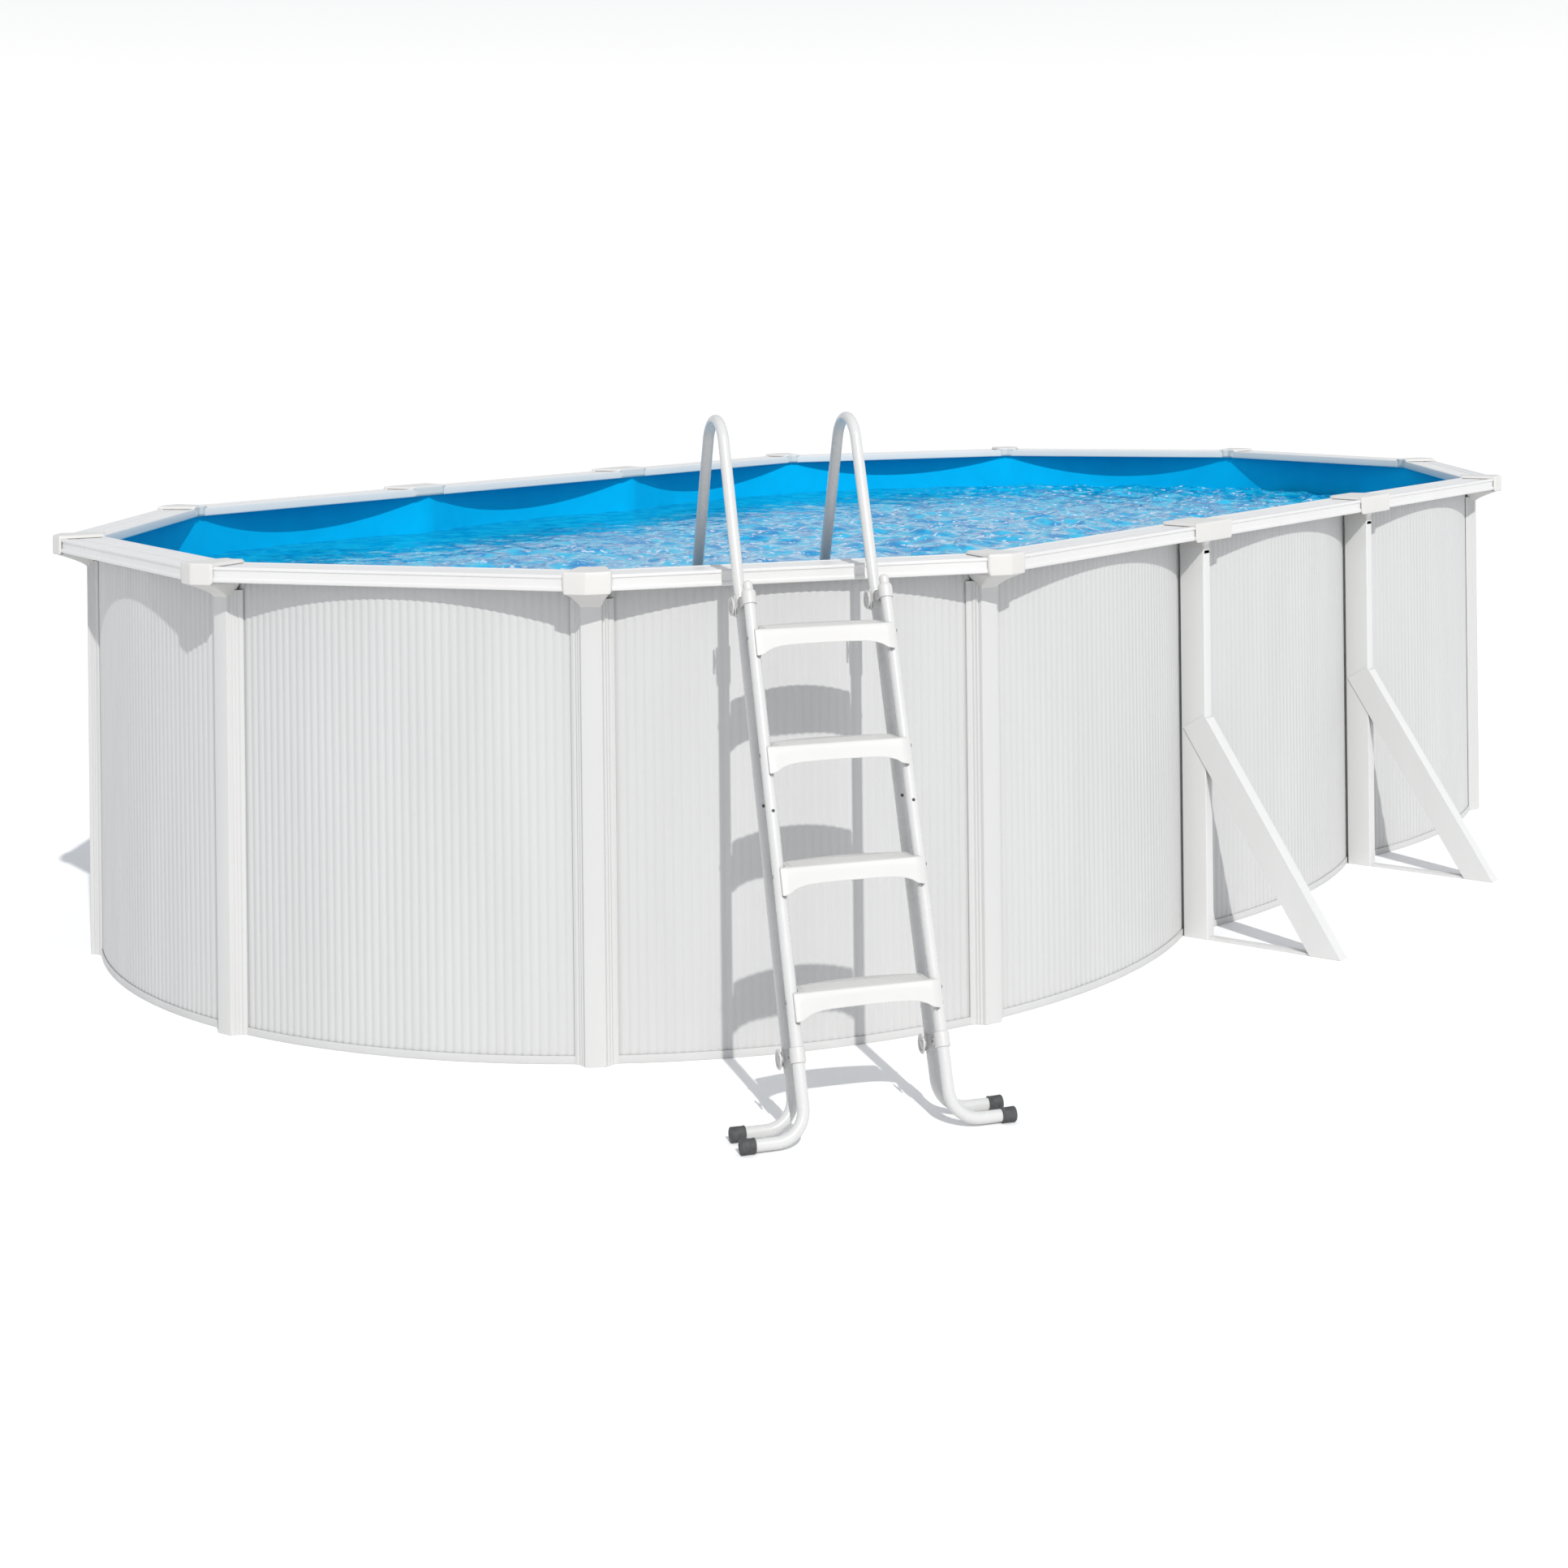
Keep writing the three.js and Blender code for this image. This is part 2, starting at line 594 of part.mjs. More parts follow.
// a moulded step with an arched underside and a bowed back edge; its ends wrap the fronts of both tubes
// Z = 0 is the tread, the tubes' axes meet it at Y = 0, and the whole step leans with the tubes
function step() {
  const end = STEP_HALF_WIDTH;
  const front = new THREE.Shape();
  front.moveTo(-end, 0);
  front.lineTo(-end, -STEP_END_HEIGHT);
  front.lineTo(-end + 16, -STEP_END_HEIGHT);
  front.bezierCurveTo(-end + 45, -STEP_HEIGHT - 5, -end + 90, -STEP_HEIGHT, 0, -STEP_HEIGHT);
  front.bezierCurveTo(end - 90, -STEP_HEIGHT, end - 45, -STEP_HEIGHT - 5, end - 16, -STEP_END_HEIGHT);
  front.lineTo(end, -STEP_END_HEIGHT);
  front.lineTo(end, 0);
  const block = new THREE.ExtrudeGeometry(front, { depth: STEP_DEPTH, curveSegments: 5, bevelEnabled: false });
  block.rotateX(Math.PI / 2).translate(0, STEP_DEPTH - STEP_NOSE, 0);

  const back = STEP_END_DEPTH - STEP_NOSE;
  const plan = new THREE.Shape();
  plan.moveTo(-end - 1, -STEP_NOSE - 1);
  plan.lineTo(end + 1, -STEP_NOSE - 1);
  plan.lineTo(end + 1, back);
  plan.quadraticCurveTo(0, back + 2 * (STEP_DEPTH - STEP_END_DEPTH), -end - 1, back);
  const bowed = new THREE.ExtrudeGeometry(plan, { depth: 100, curveSegments: 8, bevelEnabled: false });
  bowed.translate(0, 0, -90);

  let shape = solid(block).intersect(solid(bowed));
  for (const side of [-1, 1]) {
    const outside = [side * STEP_BODY_HALF_WIDTH, side * (STEP_HALF_WIDTH + 5)].sort((a, b) => a - b);
    const behindTube = box([outside[0], -5, -80], [outside[1], STEP_DEPTH, 20]);
    const hole = rod("z", TUBE_RADIUS + GAP, -200, 200, TUBE_SIDES, true);
    hole.scale(1, 1 / Math.cos(SLOPE_ANGLE), 1).translate(side * LEG_HALF_SPACING, 0, 0);
    shape = shape.subtract(solid(behindTube)).subtract(solid(hole));
  }
  const lean = new THREE.Matrix4().makeShear(0, 0, 0, 0, 0, LEG_SLOPE);
  return geometryOf(shape).applyMatrix4(lean);
}

// the sleeve on a step tube, with a tongue towards the frame that turns on the coupling's pin
function couplingSleeve() {
  const half = SLEEVE_LENGTH / 2;
  const ringPart = solid(rod("z", SLEEVE_RADIUS, COUPLING_HEIGHT - half, COUPLING_HEIGHT + half));
  const tongue = solid(
    box([-TONGUE_HALF, TUBE_RADIUS, COUPLING_HEIGHT - 9], [TONGUE_HALF, TUBE_SPACING / 2 + 9, COUPLING_HEIGHT + 9]),
  );
  const tubeHole = solid(rod("z", TUBE_RADIUS + GAP, 0, 2000, TUBE_SIDES, true));
  const pinHole = solid(
    rod("x", PIVOT_RADIUS + GAP, -20, 20, 12, true).translate(0, TUBE_SPACING / 2, COUPLING_HEIGHT),
  );
  return ringPart.add(tongue).subtract(tubeHole).subtract(pinHole);
}

// the clamp on a frame tube, with two cheeks and the cross pin on which the steps swing
function couplingClamp() {
  const half = CLAMP_LENGTH / 2;
  const pivotY = -TUBE_SPACING / 2;
  let shape = solid(rod("z", SLEEVE_RADIUS, COUPLING_HEIGHT - half, COUPLING_HEIGHT + half));
  for (const [from, to] of [[-CHEEK_OUTER, -CHEEK_INNER], [CHEEK_INNER, CHEEK_OUTER]]) {
    const cheek = box([from, pivotY - 8, COUPLING_HEIGHT - 12], [to, -TUBE_RADIUS, COUPLING_HEIGHT + 12]);
    shape = shape.add(solid(cheek));
  }
  const pin = rod("x", PIVOT_RADIUS, -CHEEK_OUTER - 1.5, CHEEK_OUTER + 1.5).translate(0, pivotY, COUPLING_HEIGHT);
  const tubeHole = solid(rod("z", TUBE_RADIUS + GAP, 0, 2000, TUBE_SIDES, true));
  shape = shape.add(solid(pin)).add(knobBoss(COUPLING_HEIGHT));
  return shape.subtract(tubeHole).subtract(solid(knobBore(COUPLING_HEIGHT)));
}

// the latch on a step tube: a sleeve with two cheeks that reach round the frame bracket's tongue
function latch() {
  const half = SLEEVE_LENGTH / 2;
  let shape = solid(rod("z", SLEEVE_RADIUS, LATCH_HEIGHT - half, LATCH_HEIGHT + half));
  for (const [from, to] of [[-CHEEK_OUTER, -CHEEK_INNER], [CHEEK_INNER, CHEEK_OUTER]]) {
    const cheek = box([from, TUBE_RADIUS, LATCH_HEIGHT - 9], [to, TUBE_SPACING / 2 + 12, LATCH_HEIGHT + 9]);
    shape = shape.add(solid(cheek));
  }
  return shape.subtract(solid(rod("z", TUBE_RADIUS + GAP, 0, 2000, TUBE_SIDES, true)));
}

// a hand knob with its stud, on the X axis of a clamp
function knob(height) {
  const points = [];
  const lobes = 6;
  const pointsPerLobe = 4;
  for (let i = 0; i < lobes * pointsPerLobe; i += 1) {
    const angle = (i / (lobes * pointsPerLobe)) * 2 * Math.PI;
    const reach = KNOB_RADIUS - 1.5 + 1.5 * Math.cos(lobes * angle);
    points.push([reach * Math.cos(angle), reach * Math.sin(angle)]);
  }
  const disc = prism(points, -KNOB_THICKNESS, 0).rotateY(Math.PI / 2).translate(-BOSS_END - GAP, 0, 0);
  const stud = rod("x", KNOB_STUD, -BOSS_END - 2, -TUBE_RADIUS - 2);
  return geometryOf(solid(disc).add(solid(stud)).translate([0, 0, height]));
}

// ---- assembly -------------------------------------------------------------------------------------
const pool = new THREE.Group();

addPart(pool, "wall", wallSheet(), paint);
addPart(pool, "bottom_track", bottomTrack(), paint);
addPart(pool, "liner", liner(), vinyl);

const numbered = (index) => String(index + 1).padStart(2, "0");
let buttressCount = 0;
corners.forEach((corner, index) => {
  const place = new THREE.Group();
  place.position.set(corner.x, corner.y, 0);
  place.rotation.z = corner.turn - Math.PI / 2;
  pool.add(place);
  if (corner.buttressed) {
    addPart(place, `side_post_${numbered(index)}`, sidePost(), paint);
    addPart(place, `buttress_${numbered(buttressCount)}`, buttress(), paint);
    buttressCount += 1;
  } else {
    addPart(place, `post_${numbered(index)}`, endPost(), paint);
  }
  addPart(pool, `top_rail_${numbered(index)}`, topRail(panelBetween(index)), paint);
});

const ladderPanel = panelBetween(LADDER_PANEL);
const ladder = new THREE.Group();
ladder.position.set(
  (ladderPanel.from.x + ladderPanel.to.x) / 2 + ladderPanel.along.x * LADDER_SHIFT,
  (ladderPanel.from.y + ladderPanel.to.y) / 2 + ladderPanel.along.y * LADDER_SHIFT,
  0,
);
ladder.rotation.z = Math.atan2(ladderPanel.along.y, ladderPanel.along.x);
pool.add(ladder);

for (const [side, word] of [[-1, "left"], [1, "right"]]) {
  addPart(ladder, `ladder_frame_${word}`, frameWithBracket(side), tubePaint);
  addPart(ladder, `step_tube_${word}`, stepTube(side), tubePaint);
  addPart(ladder, `frame_foot_${word}`, footCap(side, FRAME_TUBE_FOOT), rubber);
  addPart(ladder, `step_foot_${word}`, footCap(side, STEP_TUBE_FOOT), rubber);
  addPart(ladder, `coupling_clamp_${word}`, onFrame(couplingClamp(), side), plastic);
  addPart(ladder, `coupling_sleeve_${word}`, onStepTube(couplingSleeve(), side), plastic);
  addPart(ladder, `coupling_knob_${word}`, onFrame(knob(COUPLING_HEIGHT), side), plastic);
  addPart(ladder, `latch_${word}`, onStepTube(latch(), side), plastic);
  addPart(ladder, `latch_knob_${word}`, onFrame(knob(LATCH_HEIGHT), side), plastic);
}

STEP_TOPS.forEach((height, index) => {
  const mesh = addPart(ladder, `step_${index + 1}`, step(), plastic);
  mesh.position.set(0, -outerLegAt(STEP_TUBE_FOOT, height), height);
});

INNER_STEP_TOPS.forEach((height, index) => {
  const mesh = addPart(ladder, `inner_step_${index + 1}`, step(), plastic);
  mesh.position.set(0, -innerLegAt(height), height);
  mesh.rotation.z = Math.PI;
});

export default pool;
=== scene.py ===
import math

import bmesh
import bpy
import numpy as np
from mathutils import Matrix, Vector


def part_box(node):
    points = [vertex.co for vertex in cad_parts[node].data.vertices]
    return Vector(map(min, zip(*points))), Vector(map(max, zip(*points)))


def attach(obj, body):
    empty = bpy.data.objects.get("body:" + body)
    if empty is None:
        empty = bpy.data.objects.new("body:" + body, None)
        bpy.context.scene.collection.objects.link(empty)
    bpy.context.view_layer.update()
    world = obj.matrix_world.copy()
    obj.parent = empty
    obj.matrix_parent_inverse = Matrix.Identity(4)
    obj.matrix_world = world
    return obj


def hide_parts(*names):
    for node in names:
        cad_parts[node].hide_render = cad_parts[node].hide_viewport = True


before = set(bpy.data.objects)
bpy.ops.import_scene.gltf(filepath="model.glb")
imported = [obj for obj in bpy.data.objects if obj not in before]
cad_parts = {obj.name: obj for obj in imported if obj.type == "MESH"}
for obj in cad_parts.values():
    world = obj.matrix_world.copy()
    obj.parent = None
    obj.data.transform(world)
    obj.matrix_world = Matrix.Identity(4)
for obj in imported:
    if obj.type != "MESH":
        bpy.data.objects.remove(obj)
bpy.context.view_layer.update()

# Oval above-ground pool with a corrugated steel wall and an A-frame ladder whose outer steps swing out.
# Metres, +Z up, +X along the pool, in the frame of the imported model.

POOL = "pool_and_frame"
STEPS = "step_section"

# ---- sizes
GAP = 0.0003  # clearance between touching pieces
CORNER_STEP = math.radians(36)  # between neighbouring posts round an end

wall_low, wall_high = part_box("wall")
HALF_WALL = 0.003
WALL_TOP = wall_high.z
END_RADIUS = wall_high.y - HALF_WALL
END_CENTRE_X = wall_high.x - HALF_WALL - END_RADIUS
SIDE_POST_X = sum(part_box("side_post_04"), Vector()).x / 2
STRAIGHT_Y = END_RADIUS * math.sin(2 * CORNER_STEP)
PANEL_BULGE = END_RADIUS * (1 - math.cos(CORNER_STEP / 2))

WAVE_PITCH = 0.0247  # from one corrugation to the next
WAVE_DEPTH = 0.0012  # half the height of a corrugation
WAVE_SAMPLES = 8
SHEET = 0.0008
TRACK_SHEET = 0.002
ROLLED_SHEET = 0.0012  # of rails and end posts
CHANNEL_SHEET = 0.0015  # of side posts and straps
TRACK_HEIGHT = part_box("bottom_track")[1].z
LINER_INSIDE = -HALF_WALL - GAP - 0.002
LINER_FLOOR = 0.005
LINER_COVE = 0.05
PANEL_SAMPLES = 24  # of the track and the liner, between two posts
WATER_LEVEL = 1.16
RIPPLE_LONGEST = 0.30
RIPPLE_SHORTEST = 0.05
RIPPLE_COUNT = 46
RIPPLE_STEEPNESS = 0.0080  # height over length

RAIL_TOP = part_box("top_rail_01")[1].z
RAIL_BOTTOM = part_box("top_rail_01")[0].z
RAIL_INNER = -0.011  # offsets are counted outwards from the chord between two posts
RAIL_OUTER = 0.128
RAIL_END = 0.010  # from the middle of a joint to the end of a rail

CAP_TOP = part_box("post_01")[1].z
CAP_BOTTOM = 1.289
CAP_INNER = -0.014
CAP_OUTER = 0.134
CAP_HALF_WIDTH = 0.067
SIDE_CAP_HALF_WIDTH = 0.119
CAP_TAPER = 0.024
CAP_SHELL = 0.0022

POST_DEPTH = 0.036
SIDE_POST_HALF_WIDTH = 0.022
SIDE_POST_BACK = 0.016
SIDE_POST_DEPTH = 0.104
SHELF_DEPTH = 0.122
SHELF_TOP = RAIL_BOTTOM - GAP
SKIRT_BOTTOM = 1.246

BRACE_WIDTH = 0.090
BRACE_ANGLE = math.radians(33)
BRACE_FOOT = 0.572
BRACE_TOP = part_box("buttress_01")[1].z
BRACE_SHEET = 0.0026
BRACE_TOP_BACK = 0.024
STRAP_HALF_WIDTH = 0.020
STRAP_HEIGHT = 0.006

# ladder frame: X sideways, -Y out from the pool, origin on the chord of its wall panel
LADDER_PANEL = 8
LADDER_SHIFT = -0.030
LEG_HALF_SPACING = 0.189
LEG_SLOPE = 0.383
SLOPE_ANGLE = math.atan(LEG_SLOPE)
TUBE_RADIUS = 0.0155
FOOT_CAP_RADIUS = 0.019
FOOT_CAP_LENGTH = 0.038
FOOT_HEIGHT = FOOT_CAP_RADIUS
FOOT_REACH = 0.168
FOOT_BEND = 0.075
CAP_FLOOR = 0.005
STEP_TUBE_FOOT = 0.840
FRAME_TUBE_FOOT = 0.745
TUBE_SPACING = (STEP_TUBE_FOOT - FRAME_TUBE_FOOT) * math.cos(SLOPE_ANGLE)
APEX_OFFSET = 0.020
APEX_HEIGHT = FOOT_HEIGHT + (FRAME_TUBE_FOOT - APEX_OFFSET) / LEG_SLOPE
HOOP_RADIUS = 0.094
STEP_TUBE_TOP = 1.376
NECK_RADIUS = 0.013
SLEEVE_RADIUS = 0.0195
COUPLING_HEIGHT = 1.361
LATCH_HEIGHT = 0.198
CHEEK_INNER = 0.0054
CHEEK_OUTER = 0.0094
CHEEKS = ((-CHEEK_OUTER, -CHEEK_INNER), (CHEEK_INNER, CHEEK_OUTER))
TONGUE = (-0.005, 0.005)
SLEEVE_HALF = 0.019
BOSS_END = 0.022
KNOB_RADIUS = 0.0255
KNOB_THICKNESS = 0.006
STEP_BUTTON = 0.798  # of the dark snap buttons, along the legs
FRAME_BUTTON = 0.826
STEP_HALF_WIDTH = 0.190
STEP_BODY_HALF_WIDTH = 0.171
STEP_NOSE = 0.028
STEP_DEPTH = 0.095
STEP_END_DEPTH = 0.072
STEP_HEIGHT = 0.043
STEP_END_HEIGHT = 0.066
STEP_CORNER = 0.012

# heads of small parts, as (radius, height) pairs
STEP_SCREW_HEAD = [(0, -0.001), (0.0048, -0.001), (0.0048, 0.0004), (0.0040, 0.0018), (0.0022, 0.0027),
                   (0, 0.0030)]
LATCH_SCREW_HEAD = [(0, -0.001), (0.0042, -0.001), (0.0042, 0.0006), (0.0030, 0.0016), (0.0012, 0.0018),
                    (0.0008, 0.0008), (0, 0.0008)]
BUTTON_HEAD = [(0, -0.002), (0.0042, -0.002), (0.0042, 0.0004), (0.0034, 0.0014), (0.0018, 0.0019),
               (0, 0.0020)]


# ---- materials
NOISE_LOW, NOISE_HIGH = 0.3, 0.7  # most of a noise pattern lies between these


def connect(tree, node, **sockets):
    """Sets a node's sockets to values, or links them to the outputs of other nodes."""
    for name, value in sockets.items():
        socket = node.inputs[name.replace("_", " ")]
        if isinstance(value, bpy.types.NodeSocket):
            tree.links.new(value, socket)
        else:
            socket.default_value = value


def add_node(tree, kind, **sockets):
    node = tree.nodes.new("ShaderNode" + kind)
    connect(tree, node, **sockets)
    return node


def new_material(name, colour, roughness, **settings):
    """A Principled material with constant sockets, and the pieces that its patterns are linked with."""
    material = bpy.data.materials.new(name)
    material.use_nodes = True
    tree = material.node_tree
    shader = tree.nodes["Principled BSDF"]
    connect(tree, shader, Base_Color=(*colour, 1), Roughness=roughness, **settings)
    place = add_node(tree, "TexCoord").outputs["Object"]
    return material, tree, shader, place


def noise(tree, place, scale, detail=3, stretch=(1, 1, 1)):
    """A noise pattern in metres, longer along the directions whose stretch is small."""
    mapping = add_node(tree, "Mapping", Vector=place, Scale=stretch)
    texture = add_node(tree, "TexNoise", Vector=mapping.outputs["Vector"], Scale=scale, Detail=detail)
    return texture.outputs["Fac"]


def ramp(tree, factor, low, high, start=NOISE_LOW, end=NOISE_HIGH):
    """Two colours blended by a factor between a start and an end."""
    node = add_node(tree, "ValToRGB", Fac=factor)
    first, last = node.color_ramp.elements
    first.position = start
    first.color = (*low, 1)
    last.position = end
    last.color = (*high, 1)
    return node.outputs["Color"]


def spread(tree, factor, low, high):
    """A number between low and high, from a pattern."""
    node = add_node(tree, "MapRange", Value=factor, From_Min=NOISE_LOW, From_Max=NOISE_HIGH,
                    To_Min=low, To_Max=high)
    return node.outputs["Result"]


def bump(tree, shader, height, strength, distance):
    node = add_node(tree, "Bump", Height=height, Strength=strength, Distance=distance)
    connect(tree, shader, Normal=node.outputs["Normal"])


def painted(name, colour, roughness, grain, depth, variation=0.04, stretch=(1, 1, 1), **settings):
    """Paint or moulded plastic: faint cloudiness, uneven gloss and a fine surface grain."""
    material, tree, shader, place = new_material(name, colour, roughness, **settings)
    clouds = noise(tree, place, scale=6, detail=4, stretch=stretch)
    darker = tuple(channel * (1 - variation) for channel in colour)
    smears = noise(tree, place, scale=23, detail=5, stretch=stretch)
    connect(tree, shader, Base_Color=ramp(tree, clouds, darker, colour),
            Roughness=spread(tree, smears, low=roughness * 0.85, high=roughness * 1.2))
    bump(tree, shader, noise(tree, place, grain, detail=2), strength=0.35, distance=depth)
    return material


def vinyl():
    """Printed vinyl: two close blues in soft blots, and the faint ripple of a stretched sheet."""
    material, tree, shader, place = new_material(
        "liner_vinyl", (0.0, 0.40, 0.72), 0.5, Specular_IOR_Level=0.03)
    blots = noise(tree, place, scale=9, detail=6)
    connect(tree, shader, Base_Color=ramp(tree, blots, (0.0, 0.385, 0.70), (0.0, 0.415, 0.74)))
    bump(tree, shader, noise(tree, place, scale=14), strength=0.25, distance=0.003)
    return material


def water():
    """Rippled blue water: painted glints (small pale reflections of the sky) among two blues whose patches
    are painted reflections of the lit and shaded liner, and smooth water along the far side.
    """
    material, tree, shader, place = new_material(
        "pool_water", (0.0, 0.36, 0.62), 0.03, IOR=1.33, Alpha=0.85, Specular_Tint=(0.35, 0.75, 1.0, 1))
    run = add_node(tree, "SeparateXYZ", Vector=place).outputs["Y"]
    painted_glint_reach = add_node(tree, "MapRange", Value=run, From_Min=CALM_FROM, From_Max=LIVELY_FROM)
    # painted glints: a pale blue-white painted into the base colour where the sky's reflection would sparkle
    # on the ripples, fading out towards the far side
    painted_glints = ramp(tree, noise(tree, place, scale=34, detail=2), (0, 0, 0), (1, 1, 1), start=0.60, end=0.66)
    share = add_node(tree, "Math")
    share.operation = "MULTIPLY"
    tree.links.new(painted_glints, share.inputs[0])
    tree.links.new(painted_glint_reach.outputs["Result"], share.inputs[1])
    # the water's own blue, painted lighter and darker in patches as reflections of the lit and shaded liner
    painted_reflection_patches = noise(tree, place, scale=16, detail=2)
    blue_and_painted_reflections = ramp(tree, painted_reflection_patches, (0.0, 0.24, 0.55), (0.01, 0.47, 0.74), start=0.38, end=0.58)
    blend = add_node(tree, "Mix")
    blend.data_type = "RGBA"
    connect(tree, blend, Factor=share.outputs["Value"], A=blue_and_painted_reflections, B=(0.56, 0.68, 0.82, 1))
    connect(tree, shader, Base_Color=blend.outputs["Result"])
    bump(tree, shader, noise(tree, place, scale=30), strength=0.5, distance=0.006)
    return material


def rubber():
    """Dark rubber with dust in its grain."""
    material, tree, shader, place = new_material("foot_rubber", (0.045, 0.046, 0.048), 0.7)
    dust = noise(tree, place, scale=60, detail=6)
    connect(tree, shader, Base_Color=ramp(tree, dust, (0.035, 0.036, 0.038), (0.075, 0.075, 0.076)))
    bump(tree, shader, noise(tree, place, scale=900, detail=2), strength=0.5, distance=0.0003)
    return material


def screw_metal():
    """Stained steel, duller where it is darker."""
    material, tree, shader, place = new_material("screw_steel", (0.30, 0.30, 0.31), 0.4, Metallic=0.8)
    stains = noise(tree, place, scale=300, detail=4)
    connect(tree, shader, Base_Color=ramp(tree, stains, (0.16, 0.16, 0.17), (0.36, 0.36, 0.37)),
            Roughness=spread(tree, stains, low=0.55, high=0.35))
    return material


CALM_FROM = 1.5  # Y beyond which the water is smooth and has no painted glints
LIVELY_FROM = 0.7  # and Y up to which its ripples are full and its painted glints are bright
UPRIGHT = (1, 1, 0.15)  # patterns run up and down rolled sheet
WALL_PAINT = painted("wall_paint", (0.515, 0.515, 0.512), 0.42, 700, 0.00006, 0.05, UPRIGHT)
POST_PAINT = painted("post_paint", (0.545, 0.545, 0.538), 0.38, 700, 0.00006, 0.04, UPRIGHT)
# the post paint made lighter for the side posts, braces and straps: painted light, standing for the stronger
# sun on their faces
POST_PAINT_WITH_PAINTED_LIGHT = painted("post_paint_with_painted_light", (0.615, 0.615, 0.607), 0.38, 700, 0.00006, 0.04, UPRIGHT)
RAIL_PAINT = painted("rail_paint", (0.64, 0.635, 0.627), 0.32, 700, 0.00006, 0.03)
CAP_PLASTIC = painted("cap_plastic", (0.603, 0.593, 0.572), 0.46, 1500, 0.00008, 0.03)
TUBE_PAINT = painted("tube_paint", (0.555, 0.555, 0.546), 0.26, 500, 0.00005, 0.03, Coat_Weight=0.25)
LADDER_PLASTIC = painted("ladder_plastic", (0.545, 0.54, 0.529), 0.40, 1800, 0.00008, 0.03)
LINER_VINYL = vinyl()
POOL_WATER = water()
FOOT_RUBBER = rubber()
SCREW_STEEL = screw_metal()
PLASTIC = (LADDER_PLASTIC, "ladder_plastic")  # finishes of the fittings, with their slots
RUBBER = (FOOT_RUBBER, "foot_rubber")
STEEL = (SCREW_STEEL, "screw_steel")


# ---- mesh making
LEAST_MITRE = 0.6  # keeps the points of a moved line near its sharpest corners


class Shape:
    """Vertices and faces gathered for one mesh."""

    def __init__(self):
        self.vertices = []
        self.faces = []

    def add(self, points, faces):
        first = len(self.vertices)
        self.vertices.extend(Vector(point) for point in points)
        self.faces.extend([first + index for index in face] for face in faces)
        return self

    def loft(self, rings, closed=True, loop=False, ends=True):
        """Joins rings of equally many points. closed: each ring is a loop; loop: the last joins the first."""
        count = len(rings[0])
        last = len(rings) - 1
        faces = []
        for row in range(last + loop):
            here = row * count
            there = (row + 1) % len(rings) * count
            for column in range(count if closed else count - 1):
                beside = (column + 1) % count
                faces.append((here + column, here + beside, there + beside, there + column))
        if ends and closed and not loop:
            faces.append(tuple(range(count))[::-1])
            faces.append(tuple(last * count + index for index in range(count)))
        return self.add([point for ring in rings for point in ring], faces)

    def moved(self, matrix):
        self.vertices = [matrix @ vertex for vertex in self.vertices]
        return self

    def join(self, other, matrix=Matrix()):
        return self.add([matrix @ vertex for vertex in other.vertices], other.faces)


def add_object(name, data):
    thing = bpy.data.objects.new(name, data)
    bpy.context.scene.collection.objects.link(thing)
    return thing


def add_mesh(name, shape):
    mesh = bpy.data.meshes.new(name)
    mesh.from_pydata([tuple(vertex) for vertex in shape.vertices], [], shape.faces)
    return add_object(name, mesh)


def make(name, shape, material, body, nodes=(), sharp=32, bevel=0.0, open_sheet=False):
    """Turns a shape into a piece of the object that rides on a body."""
    piece = add_mesh(name, shape)
    mesh = piece.data
    if not open_sheet:
        work = bmesh.new()
        work.from_mesh(mesh)
        bmesh.ops.recalc_face_normals(work, faces=work.faces)
        work.to_mesh(mesh)
        work.free()
    mesh.materials.append(material)
    mesh.shade_smooth()
    mesh.set_sharp_from_angle(angle=math.radians(sharp))
    if bevel:
        edges = piece.modifiers.new("rounded_edges", "BEVEL")
        edges.width = bevel
        edges.segments = 2
        edges.limit_method = "ANGLE"
        edges.angle_limit = math.radians(40)
        edges.harden_normals = True
    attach(piece, body)
    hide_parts(*nodes)
    return piece


def at_height(points, height):
    return [Vector((x, y, height)) for x, y in points]


def quarter(steps):
    """Pairs (1 - cos, 1 - sin) at even steps of a quarter turn, for rounding an edge."""
    angles = [math.pi / 2 * step / steps for step in range(steps + 1)]
    return [(1 - math.cos(angle), 1 - math.sin(angle)) for angle in angles]


def rounded(points, segments=4, closed=False):
    """A 2-D line through (x, y, radius) corners, each turned into an arc of its radius."""
    places = [Vector(point[:2]) for point in points]
    result = []
    for index, here in enumerate(places):
        radius = points[index][2]
        inside = closed or 0 < index < len(places) - 1
        if not inside or radius <= 0:
            result.append(here)
            continue
        before = (places[index - 1] - here).normalized()
        after = (places[(index + 1) % len(places)] - here).normalized()
        angle = before.angle(after)
        reach = radius / math.tan(angle / 2)
        centre = here + (before + after).normalized() * (radius / math.sin(angle / 2))
        start = here + before * reach - centre
        end = here + after * reach - centre
        turn = start.angle_signed(end)
        for step in range(segments + 1):
            result.append(centre + Matrix.Rotation(-turn * step / segments, 2) @ start)
    return result


def mirrored(half, middle=()):
    """The corners of a symmetric line, from those of its right half."""
    return [(-x, y, radius) for x, y, radius in half[::-1]] + list(middle) + half


def inset(points, distance, closed=True):
    """A 2-D line moved to its left, inwards for a counterclockwise outline, with its corners mitred."""
    ahead = [(after - point).normalized() for point, after in zip(points, points[1:] + points[:1])]
    if not closed:
        ahead[-1] = ahead[-2]
    behind = [ahead[-1] if closed else ahead[0]] + ahead[:-1]
    result = []
    for point, first, second in zip(points, behind, ahead):
        middle = (first + second).normalized()
        share = max(middle.dot(first), LEAST_MITRE)
        result.append(point + Vector((-middle.y, middle.x)) * (distance / share))
    return result


